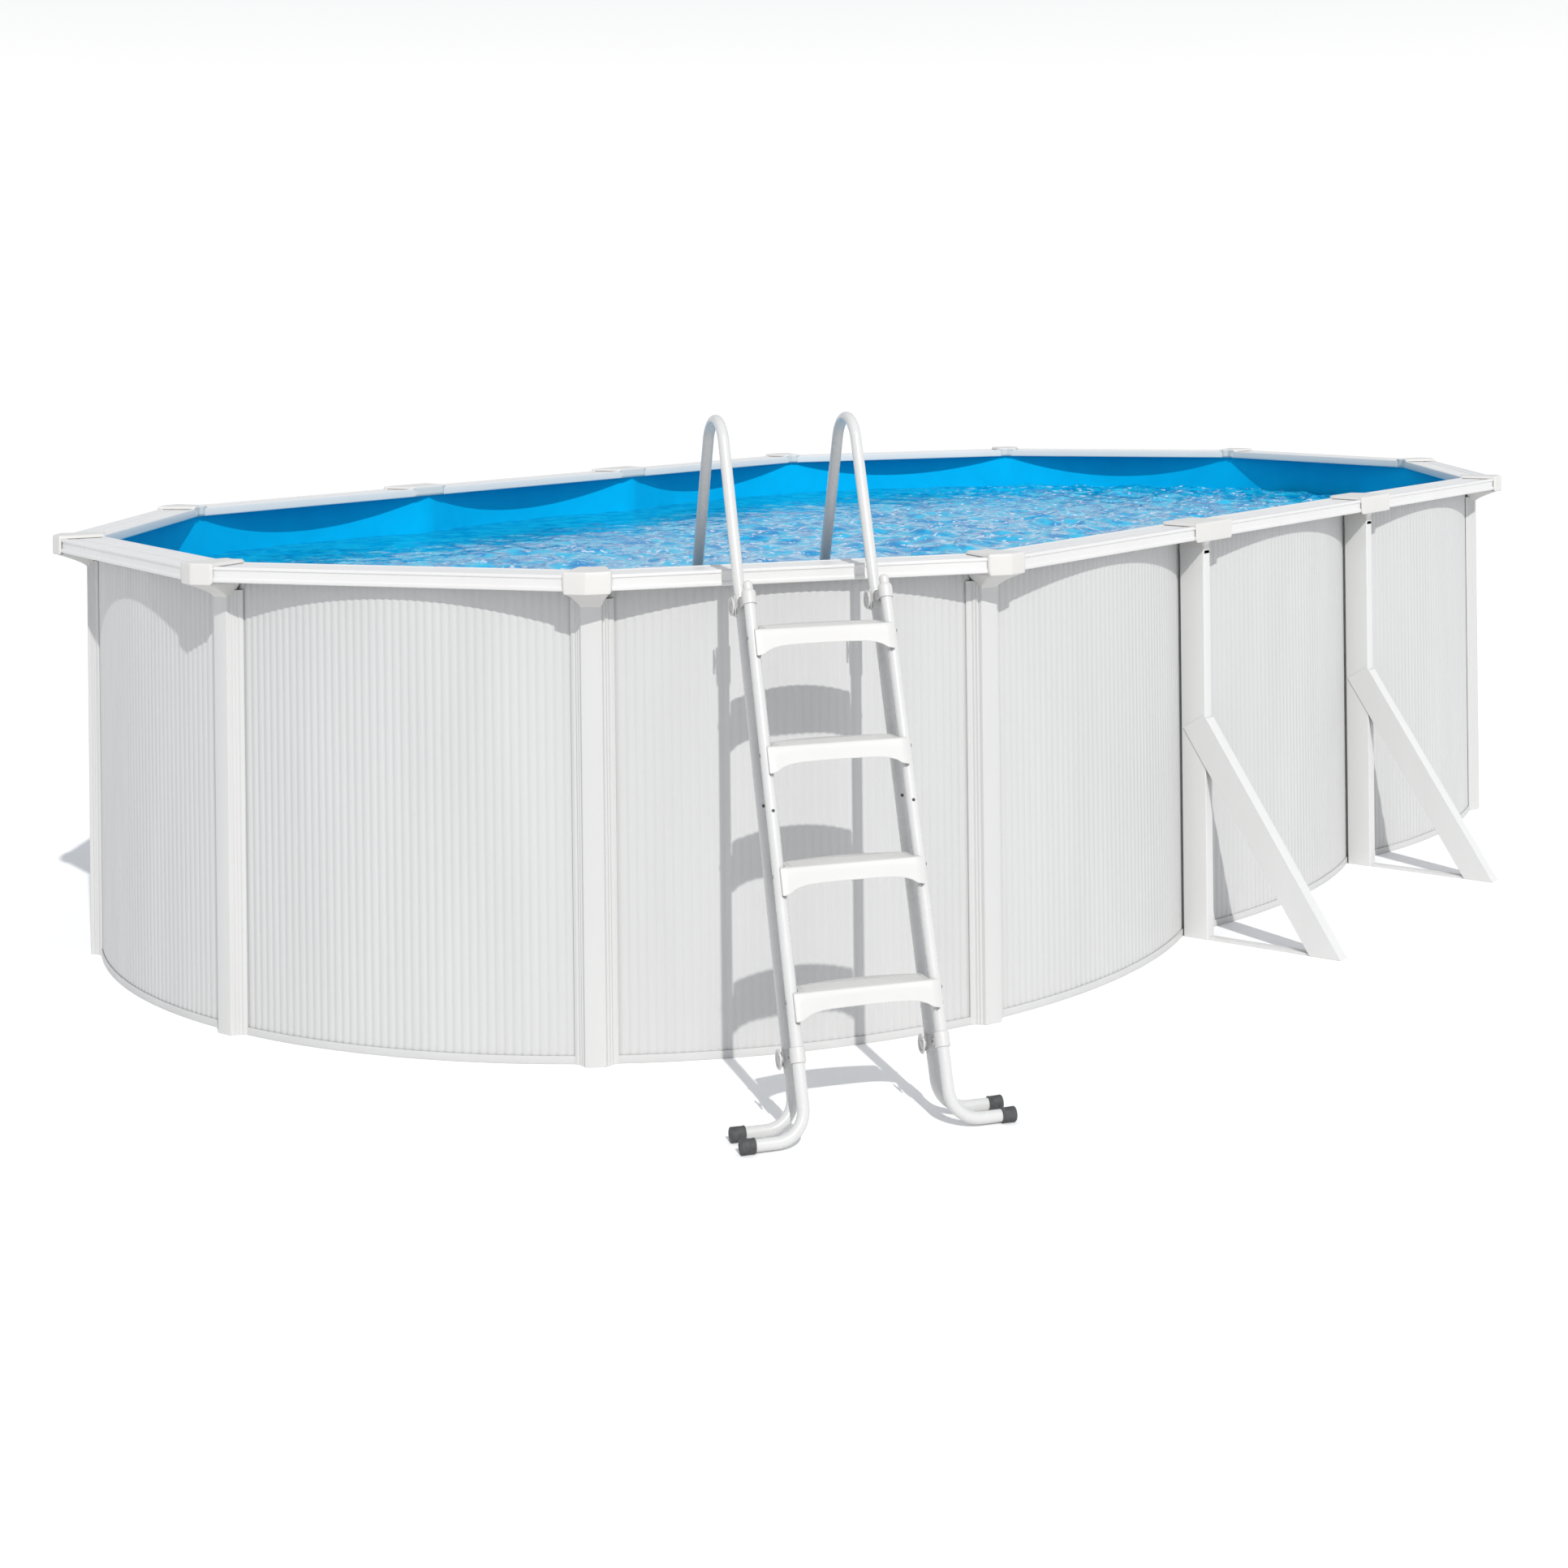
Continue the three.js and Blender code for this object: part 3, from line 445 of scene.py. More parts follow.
def thickened(points, thickness):
    """A closed outline: an open 2-D line and the same line moved sideways by a thickness."""
    return points + inset(points, thickness, closed=False)[::-1]


def circle(radius, segments=32):
    angles = [2 * math.pi * index / segments for index in range(segments)]
    return [(radius * math.cos(angle), radius * math.sin(angle)) for angle in angles]


def turned(profile, segments=32, hollow=False):
    """(radius, height) pairs turned round Z: from pole to pole, or hollow, where the last joins the first."""
    rings = [at_height(circle(radius, segments), height) for radius, height in profile]
    shape = Shape().loft(rings, loop=hollow, ends=False)
    return shape if hollow else weld(shape)


def weld(shape):
    """Merges the points that share a place, such as those at the poles of a turned shape."""
    work = bmesh.new()
    vertices = [work.verts.new(vertex) for vertex in shape.vertices]
    for face in shape.faces:
        work.faces.new([vertices[index] for index in face])
    bmesh.ops.remove_doubles(work, verts=work.verts, dist=1e-6)
    bmesh.ops.dissolve_degenerate(work, dist=1e-7, edges=work.edges)
    work.verts.index_update()
    faces = [[vertex.index for vertex in face.verts] for face in work.faces]
    result = Shape().add([vertex.co for vertex in work.verts], faces)
    work.free()
    return result


def rod(radius, bottom, top, edge=0.001, segments=24):
    """A rod along Z with rounded ends."""
    lower = [(radius - edge * across, bottom + edge * along) for along, across in quarter(3)]
    upper = [(radius - edge * across, top - edge * along) for across, along in quarter(3)]
    return turned([(0, bottom), *lower, *upper, (0, top)], segments)


def along_x(sign=1):
    """Turns a shape's Z axis to X, or to -X."""
    return Matrix.Rotation(sign * math.pi / 2, 4, "Y")


def block(low, high, edge=0.001):
    """A box with rounded edges."""
    low, high = Vector(low), Vector(high)
    levels = [(1.0, 0.0), (0.3, 0.3), (0.0, 1.0)]  # shares of the edge: inwards, and away from the face
    heights = [(share * edge, low.z + rise * edge) for share, rise in levels]
    heights += [(share * edge, high.z - rise * edge) for share, rise in levels[::-1]]
    rings = []
    for inwards, height in heights:
        left, right = low.x + inwards, high.x - inwards
        front, back = low.y + inwards, high.y - inwards
        radius = edge - inwards / 2
        plan = [(left, front, radius), (right, front, radius), (right, back, radius), (left, back, radius)]
        rings.append(at_height(rounded(plan, 3, closed=True), height))
    return Shape().loft(rings)


def sweep(path, section):
    """A closed section carried along a path without twisting."""
    legs = [(after - point).normalized() for point, after in zip(path, path[1:])]
    directions = [(first + second).normalized() for first, second in zip(legs[:1] + legs, legs + legs[-1:])]
    side = directions[0].orthogonal().normalized()
    before = directions[0]
    rings = []
    for point, direction in zip(path, directions):
        side = before.rotation_difference(direction) @ side
        side = (side - direction * side.dot(direction)).normalized()
        other = direction.cross(side)
        rings.append([point + side * x + other * y for x, y in section])
        before = direction
    return Shape().loft(rings)


# ---- plan of the pool
class Corner:
    """A post's place: where it stands, which way is outwards, and whether it is a buttressed one."""

    def __init__(self, x, y, turn, buttressed):
        self.place = Vector((x, y))
        self.turn = turn
        self.buttressed = buttressed
        self.frame = Matrix.Translation((x, y, 0)) @ Matrix.Rotation(turn - math.pi / 2, 4, "Z")


def end_corner(side, number):
    turn = number * CORNER_STEP
    x = side * END_CENTRE_X + END_RADIUS * math.cos(turn)
    return Corner(x, END_RADIUS * math.sin(turn), turn, False)


def side_corner(x_sign, y_sign):
    return Corner(x_sign * SIDE_POST_X, y_sign * STRAIGHT_Y, y_sign * math.pi / 2, True)


corners = [end_corner(1, number) for number in (0, 1, 2)]
corners += [side_corner(1, 1), side_corner(-1, 1)]
corners += [end_corner(-1, number) for number in (3, 4, 5, 6, 7)]
corners += [side_corner(-1, -1), side_corner(1, -1)]
corners += [end_corner(1, number) for number in (8, 9)]


class Panel:
    """The stretch between two neighbouring posts: a straight chord, and the bowed wall beyond it."""

    def __init__(self, index):
        self.first = corners[index]
        self.last = corners[(index + 1) % len(corners)]
        chord = self.last.place - self.first.place
        self.length = chord.length
        self.along = chord.normalized()
        self.out = Vector((self.along.y, -self.along.x))
        self.radius = (self.length ** 2 / 4 + PANEL_BULGE ** 2) / (2 * PANEL_BULGE)
        self.half_angle = math.asin(self.length / 2 / self.radius)

    def at(self, run, offset):
        return self.first.place + self.along * run + self.out * offset

    def wall_point(self, share, offset):
        """A point of the wall, moved outwards; share runs from 0 at one post to 1 at the next."""
        angle = self.half_angle * (2 * share - 1)
        reach = self.radius + offset
        run = self.length / 2 + reach * math.sin(angle)
        return self.at(run, reach * math.cos(angle) - self.radius + PANEL_BULGE)


panels = [Panel(index) for index in range(len(corners))]


def corner_point(panel, offset):
    """Where the wall line, moved outwards, turns from the panel before into this one."""
    outwards = Vector((math.cos(panel.first.turn), math.sin(panel.first.turn)))
    bend = (panel.wall_point(0, 1) - panel.wall_point(0, 0)).angle(outwards)
    return panel.first.place + outwards * (offset / math.cos(bend))


def wall_loop(offset, samples):
    """The wall line moved outwards, evenly sampled in each panel."""
    points = []
    for panel in panels:
        points.append(corner_point(panel, offset))
        points += [panel.wall_point(step / samples, offset) for step in range(1, samples)]
    return points


# ---- wall, bottom track, liner and water
def corrugated_loop(side):
    """The wall sheet's line: side is 1 for its outer face and 0 for its inner one."""
    points = []
    for panel in panels:
        waves = round(2 * panel.half_angle * panel.radius / WAVE_PITCH)
        points.append(corner_point(panel, (side - 0.5) * SHEET))
        for step in range(1, waves * WAVE_SAMPLES):
            share = step / (waves * WAVE_SAMPLES)
            trough = (1 - math.cos(2 * math.pi * share * waves)) / 2
            wave = WAVE_DEPTH * (1 - 2 * trough * trough)
            points.append(panel.wall_point(share, wave + (side - 0.5) * SHEET))
    return points


def make_wall():
    """The corrugated sheet, a closed band."""
    outer, inner = corrugated_loop(1), corrugated_loop(0)
    bottom = wall_low.z
    rings = [at_height(outer, bottom), at_height(outer, WALL_TOP), at_height(inner, WALL_TOP),
             at_height(inner, bottom)]
    shape = Shape().loft(rings, loop=True)
    make("wall_sheet", shape, WALL_PAINT, POOL, ["wall"], sharp=50)


def make_bottom_track():
    """A rolled channel that the sheet stands in, with its outer lip turned over."""
    lip = HALF_WALL + GAP
    outside = lip + TRACK_SHEET
    outline = [(-HALF_WALL, 0.0), (outside, 0.0), (outside, TRACK_HEIGHT), (lip, TRACK_HEIGHT),
               (lip, TRACK_SHEET), (-HALF_WALL, TRACK_SHEET)]
    profile = rounded([(x, y, 0.0006) for x, y in outline], 2, closed=True)
    rings = [at_height(wall_loop(offset, PANEL_SAMPLES), height) for offset, height in profile]
    make("bottom_track_channel", Shape().loft(rings, loop=True), WALL_PAINT, POOL,
         ["bottom_track"], sharp=40)


def make_liner():
    """The vinyl bag: a wall that curves into the floor, and the floor on the ground."""
    outside = -HALF_WALL - GAP
    lines = [(outside, 0.0), (outside, WALL_TOP), (LINER_INSIDE, WALL_TOP), (LINER_INSIDE, WATER_LEVEL)]
    lines += [(LINER_INSIDE - LINER_COVE * across, LINER_FLOOR + LINER_COVE * up)
              for across, up in quarter(5)]
    rings = [at_height(wall_loop(offset, PANEL_SAMPLES), height) for offset, height in lines]
    make("liner_bag", Shape().loft(rings), LINER_VINYL, POOL, ["liner"], sharp=40)


def ripples(x, y):
    """Heights of crossing ripples of many lengths, with patches that are calmer."""
    rng = np.random.default_rng(7)
    height = np.zeros_like(x)
    for length in np.geomspace(RIPPLE_LONGEST, RIPPLE_SHORTEST, RIPPLE_COUNT):
        heading = rng.uniform(0, 2 * math.pi)
        phase = rng.uniform(0, 2 * math.pi)
        number = 2 * math.pi / length
        run = x * math.cos(heading) + y * math.sin(heading)
        height += RIPPLE_STEEPNESS * length * np.sin(number * run + phase)
    patch = np.sin(1.9 * x + 0.7 * y + 1) * np.sin(1.3 * y - 0.8 * x + 2)
    calm = np.clip((y - LIVELY_FROM) / (CALM_FROM - LIVELY_FROM), 0, 1)
    return height * (0.75 + 0.25 * patch) * (1 - 0.8 * calm)


def make_water():
    """The water's surface, a fine net between the two long sides of the liner."""
    columns, rows = 420, 240
    shore = 1e-4  # half the width left at the net's two tips
    edge = wall_loop(LINER_INSIDE - 0.0002, 120)
    front_x, front_y = np.array(sorted((point.x, point.y) for point in edge if point.y < 0)).T
    limit = END_CENTRE_X + END_RADIUS + LINER_INSIDE - 0.0004
    across = limit * np.sin(np.linspace(-math.pi / 2, math.pi / 2, columns + 1))
    half = -np.interp(across, front_x, front_y, left=-shore, right=-shore)
    half[0] = half[-1] = shore
    x, share = np.meshgrid(across, np.linspace(-1, 1, rows + 1), indexing="ij")
    y = share * half[:, None]
    points = np.stack([x, y, WATER_LEVEL + ripples(x, y)], axis=-1).reshape(-1, 3)
    starts = [column * (rows + 1) + row for column in range(columns) for row in range(rows)]
    faces = [(start, start + rows + 1, start + rows + 2, start + 1) for start in starts]
    make("water_surface", Shape().add(points, faces), POOL_WATER, POOL, sharp=180, open_sheet=True)


# ---- top rails
def rail_outline():
    """A roll-formed seat: hem, raised inner edge, a groove in the top, and a fascia between two rolls."""
    inner, outer, top, bottom = RAIL_INNER, RAIL_OUTER, RAIL_TOP, RAIL_BOTTOM
    flat = top - 0.0022
    groove = flat - 0.0028
    recess = outer - 0.0030
    hem = [(inner + 0.006, top - 0.030, 0), (inner + 0.0015, top - 0.032, 0.0012),
           (inner, top - 0.028, 0.002)]
    seat = [(inner, top, 0.004), (inner + 0.012, top, 0.003), (inner + 0.015, flat, 0.002),
            (0.074, flat, 0.001), (0.0755, groove, 0.001), (0.0785, groove, 0.001), (0.080, flat, 0.001),
            (0.110, flat, 0.002), (0.113, top, 0.002)]
    fascia = [(outer, top, 0.005), (outer, top - 0.0085, 0.0025), (recess, top - 0.0115, 0.0015),
              (recess, bottom + 0.0140, 0.0015), (outer, bottom + 0.0105, 0.003), (outer, bottom, 0.0045),
              (outer - 0.016, bottom, 0)]
    return thickened(rounded(hem + seat + fascia, 3), -ROLLED_SHEET)


def rail_run(panel, corner, offset, side):
    """Where along a panel the end of a rail lies at an offset, square to the joint line of a corner."""
    across = Vector((-math.sin(corner.turn), math.cos(corner.turn)))
    start = panel.first.place - corner.place + panel.out * offset
    return (side * RAIL_END - start.dot(across)) / panel.along.dot(across)


def make_rails():
    outline = rail_outline()
    for index, panel in enumerate(panels):
        rings = [[], []]
        for offset, height in outline:
            for ring, corner, side in ((rings[0], panel.first, 1), (rings[1], panel.last, -1)):
                point = panel.at(rail_run(panel, corner, offset, side), offset)
                ring.append(Vector((point.x, point.y, height)))
        middle = [(a + b) / 2 for a, b in zip(*rings)]
        shape = Shape().loft([rings[0], middle, rings[1]])
        name = f"{index + 1:02d}"
        make(f"rail_{name}", shape, RAIL_PAINT, POOL, [f"top_rail_{name}"], sharp=28)


# ---- caps
def cap_shape(bend, half):
    """A moulded cap over two rail ends, in the corner's frame: a shell whose sides turn in to the rails."""
    lip = RAIL_TOP - 0.031
    hem = CAP_OUTER - 0.014
    inside = RAIL_INNER - GAP
    outside = RAIL_OUTER + GAP
    over = RAIL_TOP + GAP
    under = RAIL_BOTTOM - 0.004
    outer = rounded([(CAP_INNER, lip, 0), (CAP_INNER, CAP_TOP, 0.007), (CAP_OUTER, CAP_TOP, 0.006),
                     (CAP_OUTER, CAP_BOTTOM, 0.004), (hem, CAP_BOTTOM, 0)], 5)
    inner = rounded([(inside, lip, 0), (inside, over, 0.004), (outside, over, 0.004),
                     (outside, under, 0.003), (hem, under, 0)], 5)
    proud, near = subdivided(outer, inner)
    rings = []
    for side, share, inset_share, sink in cap_columns():
        ring = []
        for high, low in zip(proud, near):
            offset, height = high.lerp(low, sink)
            across = side * share * (cap_half(half, high.x, high.y) - inset_share * cap_edge(high.x))
            depth = (offset - softened(across) * math.sin(bend)) / math.cos(bend)
            ring.append(Vector((across, depth, height)))
        rings.append(ring)
    return Shape().loft(rings, closed=False)


def subdivided(outer, inner):
    """Adds points along the long flats of two matching lines."""
    first, second = [], []
    for index in range(len(outer) - 1):
        steps = max(1, round((outer[index + 1] - outer[index]).length / 0.012))
        for step in range(steps):
            first.append(outer[index].lerp(outer[index + 1], step / steps))
            second.append(inner[index].lerp(inner[index + 1], step / steps))
    return first + [outer[-1]], second + [inner[-1]]


def softened(across):
    """The distance from a crease, rounded off close to it."""
    return math.sqrt(across * across + 0.004 ** 2)


def rounding(distance, radius):
    """How far a rounded corner draws back, at a distance from the edge."""
    share = 1 - min(max(distance / radius, 0), 1)
    return radius * (1 - math.sqrt(1 - share * share))


def cap_half(half, offset, height):
    """Half the cap's width: full at the fascia, tapering inwards, with rounded corners at both ends."""
    inwards = min(max((CAP_OUTER - offset) / (CAP_OUTER - CAP_INNER), 0), 1)
    corners_cut = rounding(offset - CAP_INNER, 0.016) + rounding(height - CAP_BOTTOM, 0.008)
    return half - CAP_TAPER * inwards ** 1.3 - corners_cut


def cap_edge(offset):
    """The width of the bevel down to the rails: narrow beside the fascia, broad beside the top plate."""
    return 0.003 + 0.007 * min(max((CAP_OUTER - 0.004 - offset) / 0.012, 0), 1)


def cap_columns():
    """Lines across the cap: side, share of the flat part, share of the bevel, and how far it has sunk."""
    half = [(1, 1.0, step / 5, (1 - step / 5) ** 1.4) for step in range(5)]
    half += [(1, share, 1.0, 0.0) for share in (1.0, 0.9, 0.75, 0.55, 0.35, 0.2, 0.1, 0.04)]
    return [(-1, *rest) for _, *rest in half] + [(1, 0.0, 1.0, 0.0)] + half[::-1]


def add_thickness(piece, thickness):
    shell = piece.modifiers.new("wall_thickness", "SOLIDIFY")
    shell.thickness = thickness
    shell.offset = -1
    shell.use_even_offset = False


# ---- posts


def skirt(back, bottom_half, bottom_depth, top_half, flare):
    """The funnel under a cap, from the post's ridge out to the shelf that carries the rails."""
    levels = 9
    shares = [step / levels for step in range(levels + 1)]
    outlines = [(bottom_half + (top_half - bottom_half) * share ** 1.25,
                 bottom_depth + (SHELF_DEPTH - bottom_depth) * share ** flare,
                 SKIRT_BOTTOM + (CAP_BOTTOM - SKIRT_BOTTOM) * share,
                 0.004 + 0.008 * share) for share in shares]
    outlines.append((top_half, SHELF_DEPTH, SHELF_TOP, 0.012))
    rings = []
    for half, depth, height, edge in outlines:
        plan = [(-half, back, 0), (half, back, 0), (half, depth, edge), (-half, depth, edge)]
        rings.append(at_height(rounded(plan, 4, closed=True), height))
    return Shape().loft(rings)


def end_post_outline():
    """A roll-formed upright: a broad ridge, two steps down each flank and a flat flange."""
    half = [(0.029, POST_DEPTH, 0.0035), (0.0318, 0.0245, 0.0012), (0.0372, 0.0235, 0.0012),
            (0.0392, 0.0175, 0.0012), (0.0436, 0.0168, 0.0012), (0.0458, 0.0108, 0.0015),
            (0.0520, 0.0100, 0.002), (0.0598, 0.0045, 0.001), (0.0600, 0.0008, 0)]
    return thickened(rounded(mirrored(half, [(0.0, POST_DEPTH, 0)]), 3), -ROLLED_SHEET)


def side_post_outline():
    """A deep smooth channel, open towards the wall."""
    side, back = SIDE_POST_HALF_WIDTH, SIDE_POST_BACK + 0.001
    half = [(side, SIDE_POST_DEPTH, 0.004), (side, back, 0.002), (side - 0.007, back, 0)]
    return thickened(rounded(mirrored(half), 4), -CHANNEL_SHEET)


def upright(outline):
    top = SKIRT_BOTTOM + 0.02
    return Shape().loft([at_height(outline, top * share) for share in (0, 0.25, 0.5, 0.75, 1)])


def make_posts():
    """Posts with their rail brackets and caps; those of the straight sides are deep and narrow."""
    for number, corner in enumerate(corners, 1):
        name = f"{number:02d}"
        if corner.buttressed:
            # side posts take the lighter copy of the post paint, which is painted light
            node, paint = f"side_post_{name}", POST_PAINT_WITH_PAINTED_LIGHT
            column = upright(side_post_outline())
            funnel = skirt(SIDE_POST_BACK + 0.001, SIDE_POST_HALF_WIDTH, SIDE_POST_DEPTH, 0.0215, flare=9)
            shell = cap_shape(0, SIDE_CAP_HALF_WIDTH)
        else:
            node, paint = f"post_{name}", POST_PAINT
            column = upright(end_post_outline())
            funnel = skirt(0.0085, 0.029, POST_DEPTH, 0.0565, flare=1.4)
            shell = cap_shape(CORNER_STEP / 2, CAP_HALF_WIDTH)
        make(f"upright_{name}", column.moved(corner.frame), paint, POOL, [node], sharp=28)
        make(f"bracket_{name}", funnel.moved(corner.frame), CAP_PLASTIC, POOL, [node],
             sharp=40)
        cap = make(f"cap_{name}", shell.moved(corner.frame), CAP_PLASTIC, POOL, [node],
                   sharp=40)
        add_thickness(cap, CAP_SHELL)


# ---- buttresses
def side_view(points, near, far):
    """A plate seen from the side, points being (outwards, height), from one distance across to another."""
    rings = [[Vector((across, out, height)) for out, height in points] for across in (near, far)]
    return Shape().loft(rings)


def buttress_shape():
    """Two plates beside the post, and the web along their outer edges and across their foot."""
    slope = math.tan(BRACE_ANGLE)
    heel = BRACE_FOOT - BRACE_WIDTH / math.cos(BRACE_ANGLE)
    back = (heel - BRACE_TOP_BACK) / slope
    flange = [(heel, 0), (BRACE_FOOT, 0), (BRACE_FOOT - BRACE_TOP * slope, BRACE_TOP), (BRACE_TOP_BACK, back)]
    depth = BRACE_SHEET / math.cos(BRACE_ANGLE)
    stop = SIDE_POST_DEPTH + 2 * GAP
    web_top = (BRACE_FOOT - depth - stop) / slope
    web = [(BRACE_FOOT - depth, 0), (BRACE_FOOT, 0), (stop + depth, web_top), (stop, web_top)]
    near = SIDE_POST_HALF_WIDTH + GAP
    far = near + BRACE_SHEET
    shape = Shape()
    for outline, low, high in ((flange, near, far), (flange, -far, -near), (web, -near, near)):
        shape.join(side_view(outline, low, high))
    return shape.join(block((-near, heel + 0.002, 0), (near, BRACE_FOOT - 0.004, BRACE_SHEET), 0.0008))


def strap_shape():
    """A shallow channel along the ground from the post's foot to the toe of the brace."""
    toe = BRACE_FOOT - BRACE_WIDTH / math.cos(BRACE_ANGLE) + 0.020
    half = [(STRAP_HALF_WIDTH, STRAP_HEIGHT, 0.002), (STRAP_HALF_WIDTH, 0.0, 0)]
    section = thickened(rounded(mirrored(half), 3), -CHANNEL_SHEET)
    return Shape().loft([[Vector((x, run, z)) for x, z in section] for run in (SIDE_POST_DEPTH + GAP, toe)])


def make_buttresses():
    braced = [corner for corner in corners if corner.buttressed]
    for number, corner in enumerate(braced, 1):
        for piece, shape, bevel in (("brace", buttress_shape(), 0.001), ("strap", strap_shape(), 0.0)):
            # braces and straps take the lighter copy of the post paint, which is painted light
            make(f"{piece}_{number:02d}", shape.moved(corner.frame), POST_PAINT_WITH_PAINTED_LIGHT, POOL,
                 [f"buttress_{number:02d}"], bevel=bevel)


# ---- ladder: frames of reference
ladder_panel = panels[LADDER_PANEL]
ladder_place = ladder_panel.at(ladder_panel.length / 2 + LADDER_SHIFT, 0)
LADDER = Matrix.Translation((ladder_place.x, ladder_place.y, 0)) @ Matrix.Rotation(
    math.atan2(ladder_panel.along.y, ladder_panel.along.x), 4, "Z")


def leg_frame(side, inwards=0.0, up=0.0):
    """A leg's own frame: Z up along it from foot height, Y inwards, X sideways."""
    foot = Matrix.Translation((side * LEG_HALF_SPACING, -STEP_TUBE_FOOT, FOOT_HEIGHT))
    return LADDER @ foot @ Matrix.Rotation(-SLOPE_ANGLE, 4, "X") @ Matrix.Translation((0, inwards, up))


SIDES = ((-1, "left"), (1, "right"))
UP_LEG = Vector((0, math.sin(SLOPE_ANGLE), math.cos(SLOPE_ANGLE)))


def foot_path(side, foot):
    """From the sideways end of a foot, round its bend and up to the start of the straight leg."""
    knee = Vector((side * LEG_HALF_SPACING, -foot, FOOT_HEIGHT))
    sideways = Vector((side, 0, 0))
    bend = [knee + sideways * FOOT_BEND * out + UP_LEG * FOOT_BEND * up for up, out in quarter(16)]
    return [knee + sideways * (FOOT_REACH - CAP_FLOOR - GAP)] + bend


def inner_leg_at(height):
    return APEX_OFFSET - LEG_SLOPE * (APEX_HEIGHT - height)


def outer_leg_at(foot, height):
    return foot - LEG_SLOPE * (height - FOOT_HEIGHT)


def frame_path(side):
    """The whole A-shaped tube: foot, outer leg, hoop and inner leg down to the liner's floor."""
    x = side * LEG_HALF_SPACING
    path = foot_path(side, FRAME_TUBE_FOOT)
    centre = APEX_HEIGHT - HOOP_RADIUS / math.sin(SLOPE_ANGLE)
    arc_steps = 32
    for step in range(arc_steps + 1):
        angle = SLOPE_ANGLE + step / arc_steps * (math.pi - 2 * SLOPE_ANGLE)
        out = APEX_OFFSET + HOOP_RADIUS * math.cos(angle)
        path.append(Vector((x, -out, centre + HOOP_RADIUS * math.sin(angle))))
    end = LINER_FLOOR + GAP + TUBE_RADIUS * math.sin(SLOPE_ANGLE) + 0.004
    path.append(Vector((x, -inner_leg_at(end), end)))
    return path


def make_tubes():
    section = circle(TUBE_RADIUS, 36)
    for side, word in SIDES:
        knee = Vector((side * LEG_HALF_SPACING, -STEP_TUBE_FOOT, FOOT_HEIGHT))
        steps_path = foot_path(side, STEP_TUBE_FOOT) + [knee + UP_LEG * STEP_TUBE_TOP]
        for name, path, body, node in (("frame_tube", frame_path(side), POOL, "ladder_frame"),
                                       ("steps_tube", steps_path, STEPS, "step_tube")):
            make(f"{name}_{word}", sweep(path, section).moved(LADDER), TUBE_PAINT, body,
                 [f"{node}_{word}"])
        plug = neck_plug().moved(leg_frame(side, up=STEP_TUBE_TOP))
        make(f"tube_plug_{word}", plug, LADDER_PLASTIC, STEPS, [f"step_tube_{word}"])


def neck_plug():
    """The domed plug in the top of a step tube, whose end is at height 0."""
    profile = [(0, -0.006), (TUBE_RADIUS - 0.0006, -0.006), (TUBE_RADIUS - 0.0004, 0.001),
               (NECK_RADIUS + 0.0006, 0.004), (NECK_RADIUS, 0.006)]
    profile += [(NECK_RADIUS * (1 - across), 0.031 - 0.012 * down) for across, down in quarter(6)]
    return turned(profile)


# ---- ladder: rubber feet
def foot_cap(length):
    """A rubber cup with a bead round its mouth, open towards -Z and closed at Z = 0."""
    radius = FOOT_CAP_RADIUS
    bore = TUBE_RADIUS + GAP
    edge = 0.0035
    profile = [(0, -CAP_FLOOR), (bore, -CAP_FLOOR), (bore, -length), (radius - 0.0012, -length),
               (radius, -length + 0.0012), (radius, -length + 0.0045), (radius - 0.0007, -length + 0.0055)]
    profile += [(radius - edge * across, -edge * down) for across, down in quarter(4)]
    profile += [(radius * 0.45, 0.0), (radius * 0.4, -0.0008), (0, -0.0008)]
    return turned(profile, 40)


def make_feet():
    for side, word in SIDES:
        for kind, foot, body in (("frame", FRAME_TUBE_FOOT, POOL), ("step", STEP_TUBE_FOOT, STEPS)):
            end = Vector((side * (LEG_HALF_SPACING + FOOT_REACH), -foot, FOOT_HEIGHT))
            matrix = LADDER @ Matrix.Translation(end) @ along_x(side)
            cup = foot_cap(FOOT_CAP_LENGTH).moved(matrix)
            make(f"{kind}_foot_cap_{word}", cup, FOOT_RUBBER, body, [f"{kind}_foot_{word}"])
        low = FOOT_CAP_RADIUS * math.sin(SLOPE_ANGLE) + LINER_FLOOR + 0.0005
        inner_end = Vector((side * LEG_HALF_SPACING, -inner_leg_at(low), low))
        matrix = LADDER @ Matrix.Translation(inner_end) @ Matrix.Rotation(math.pi - SLOPE_ANGLE, 4, "X")
        make(f"inner_foot_cap_{word}", foot_cap(0.03).moved(matrix), FOOT_RUBBER, POOL)


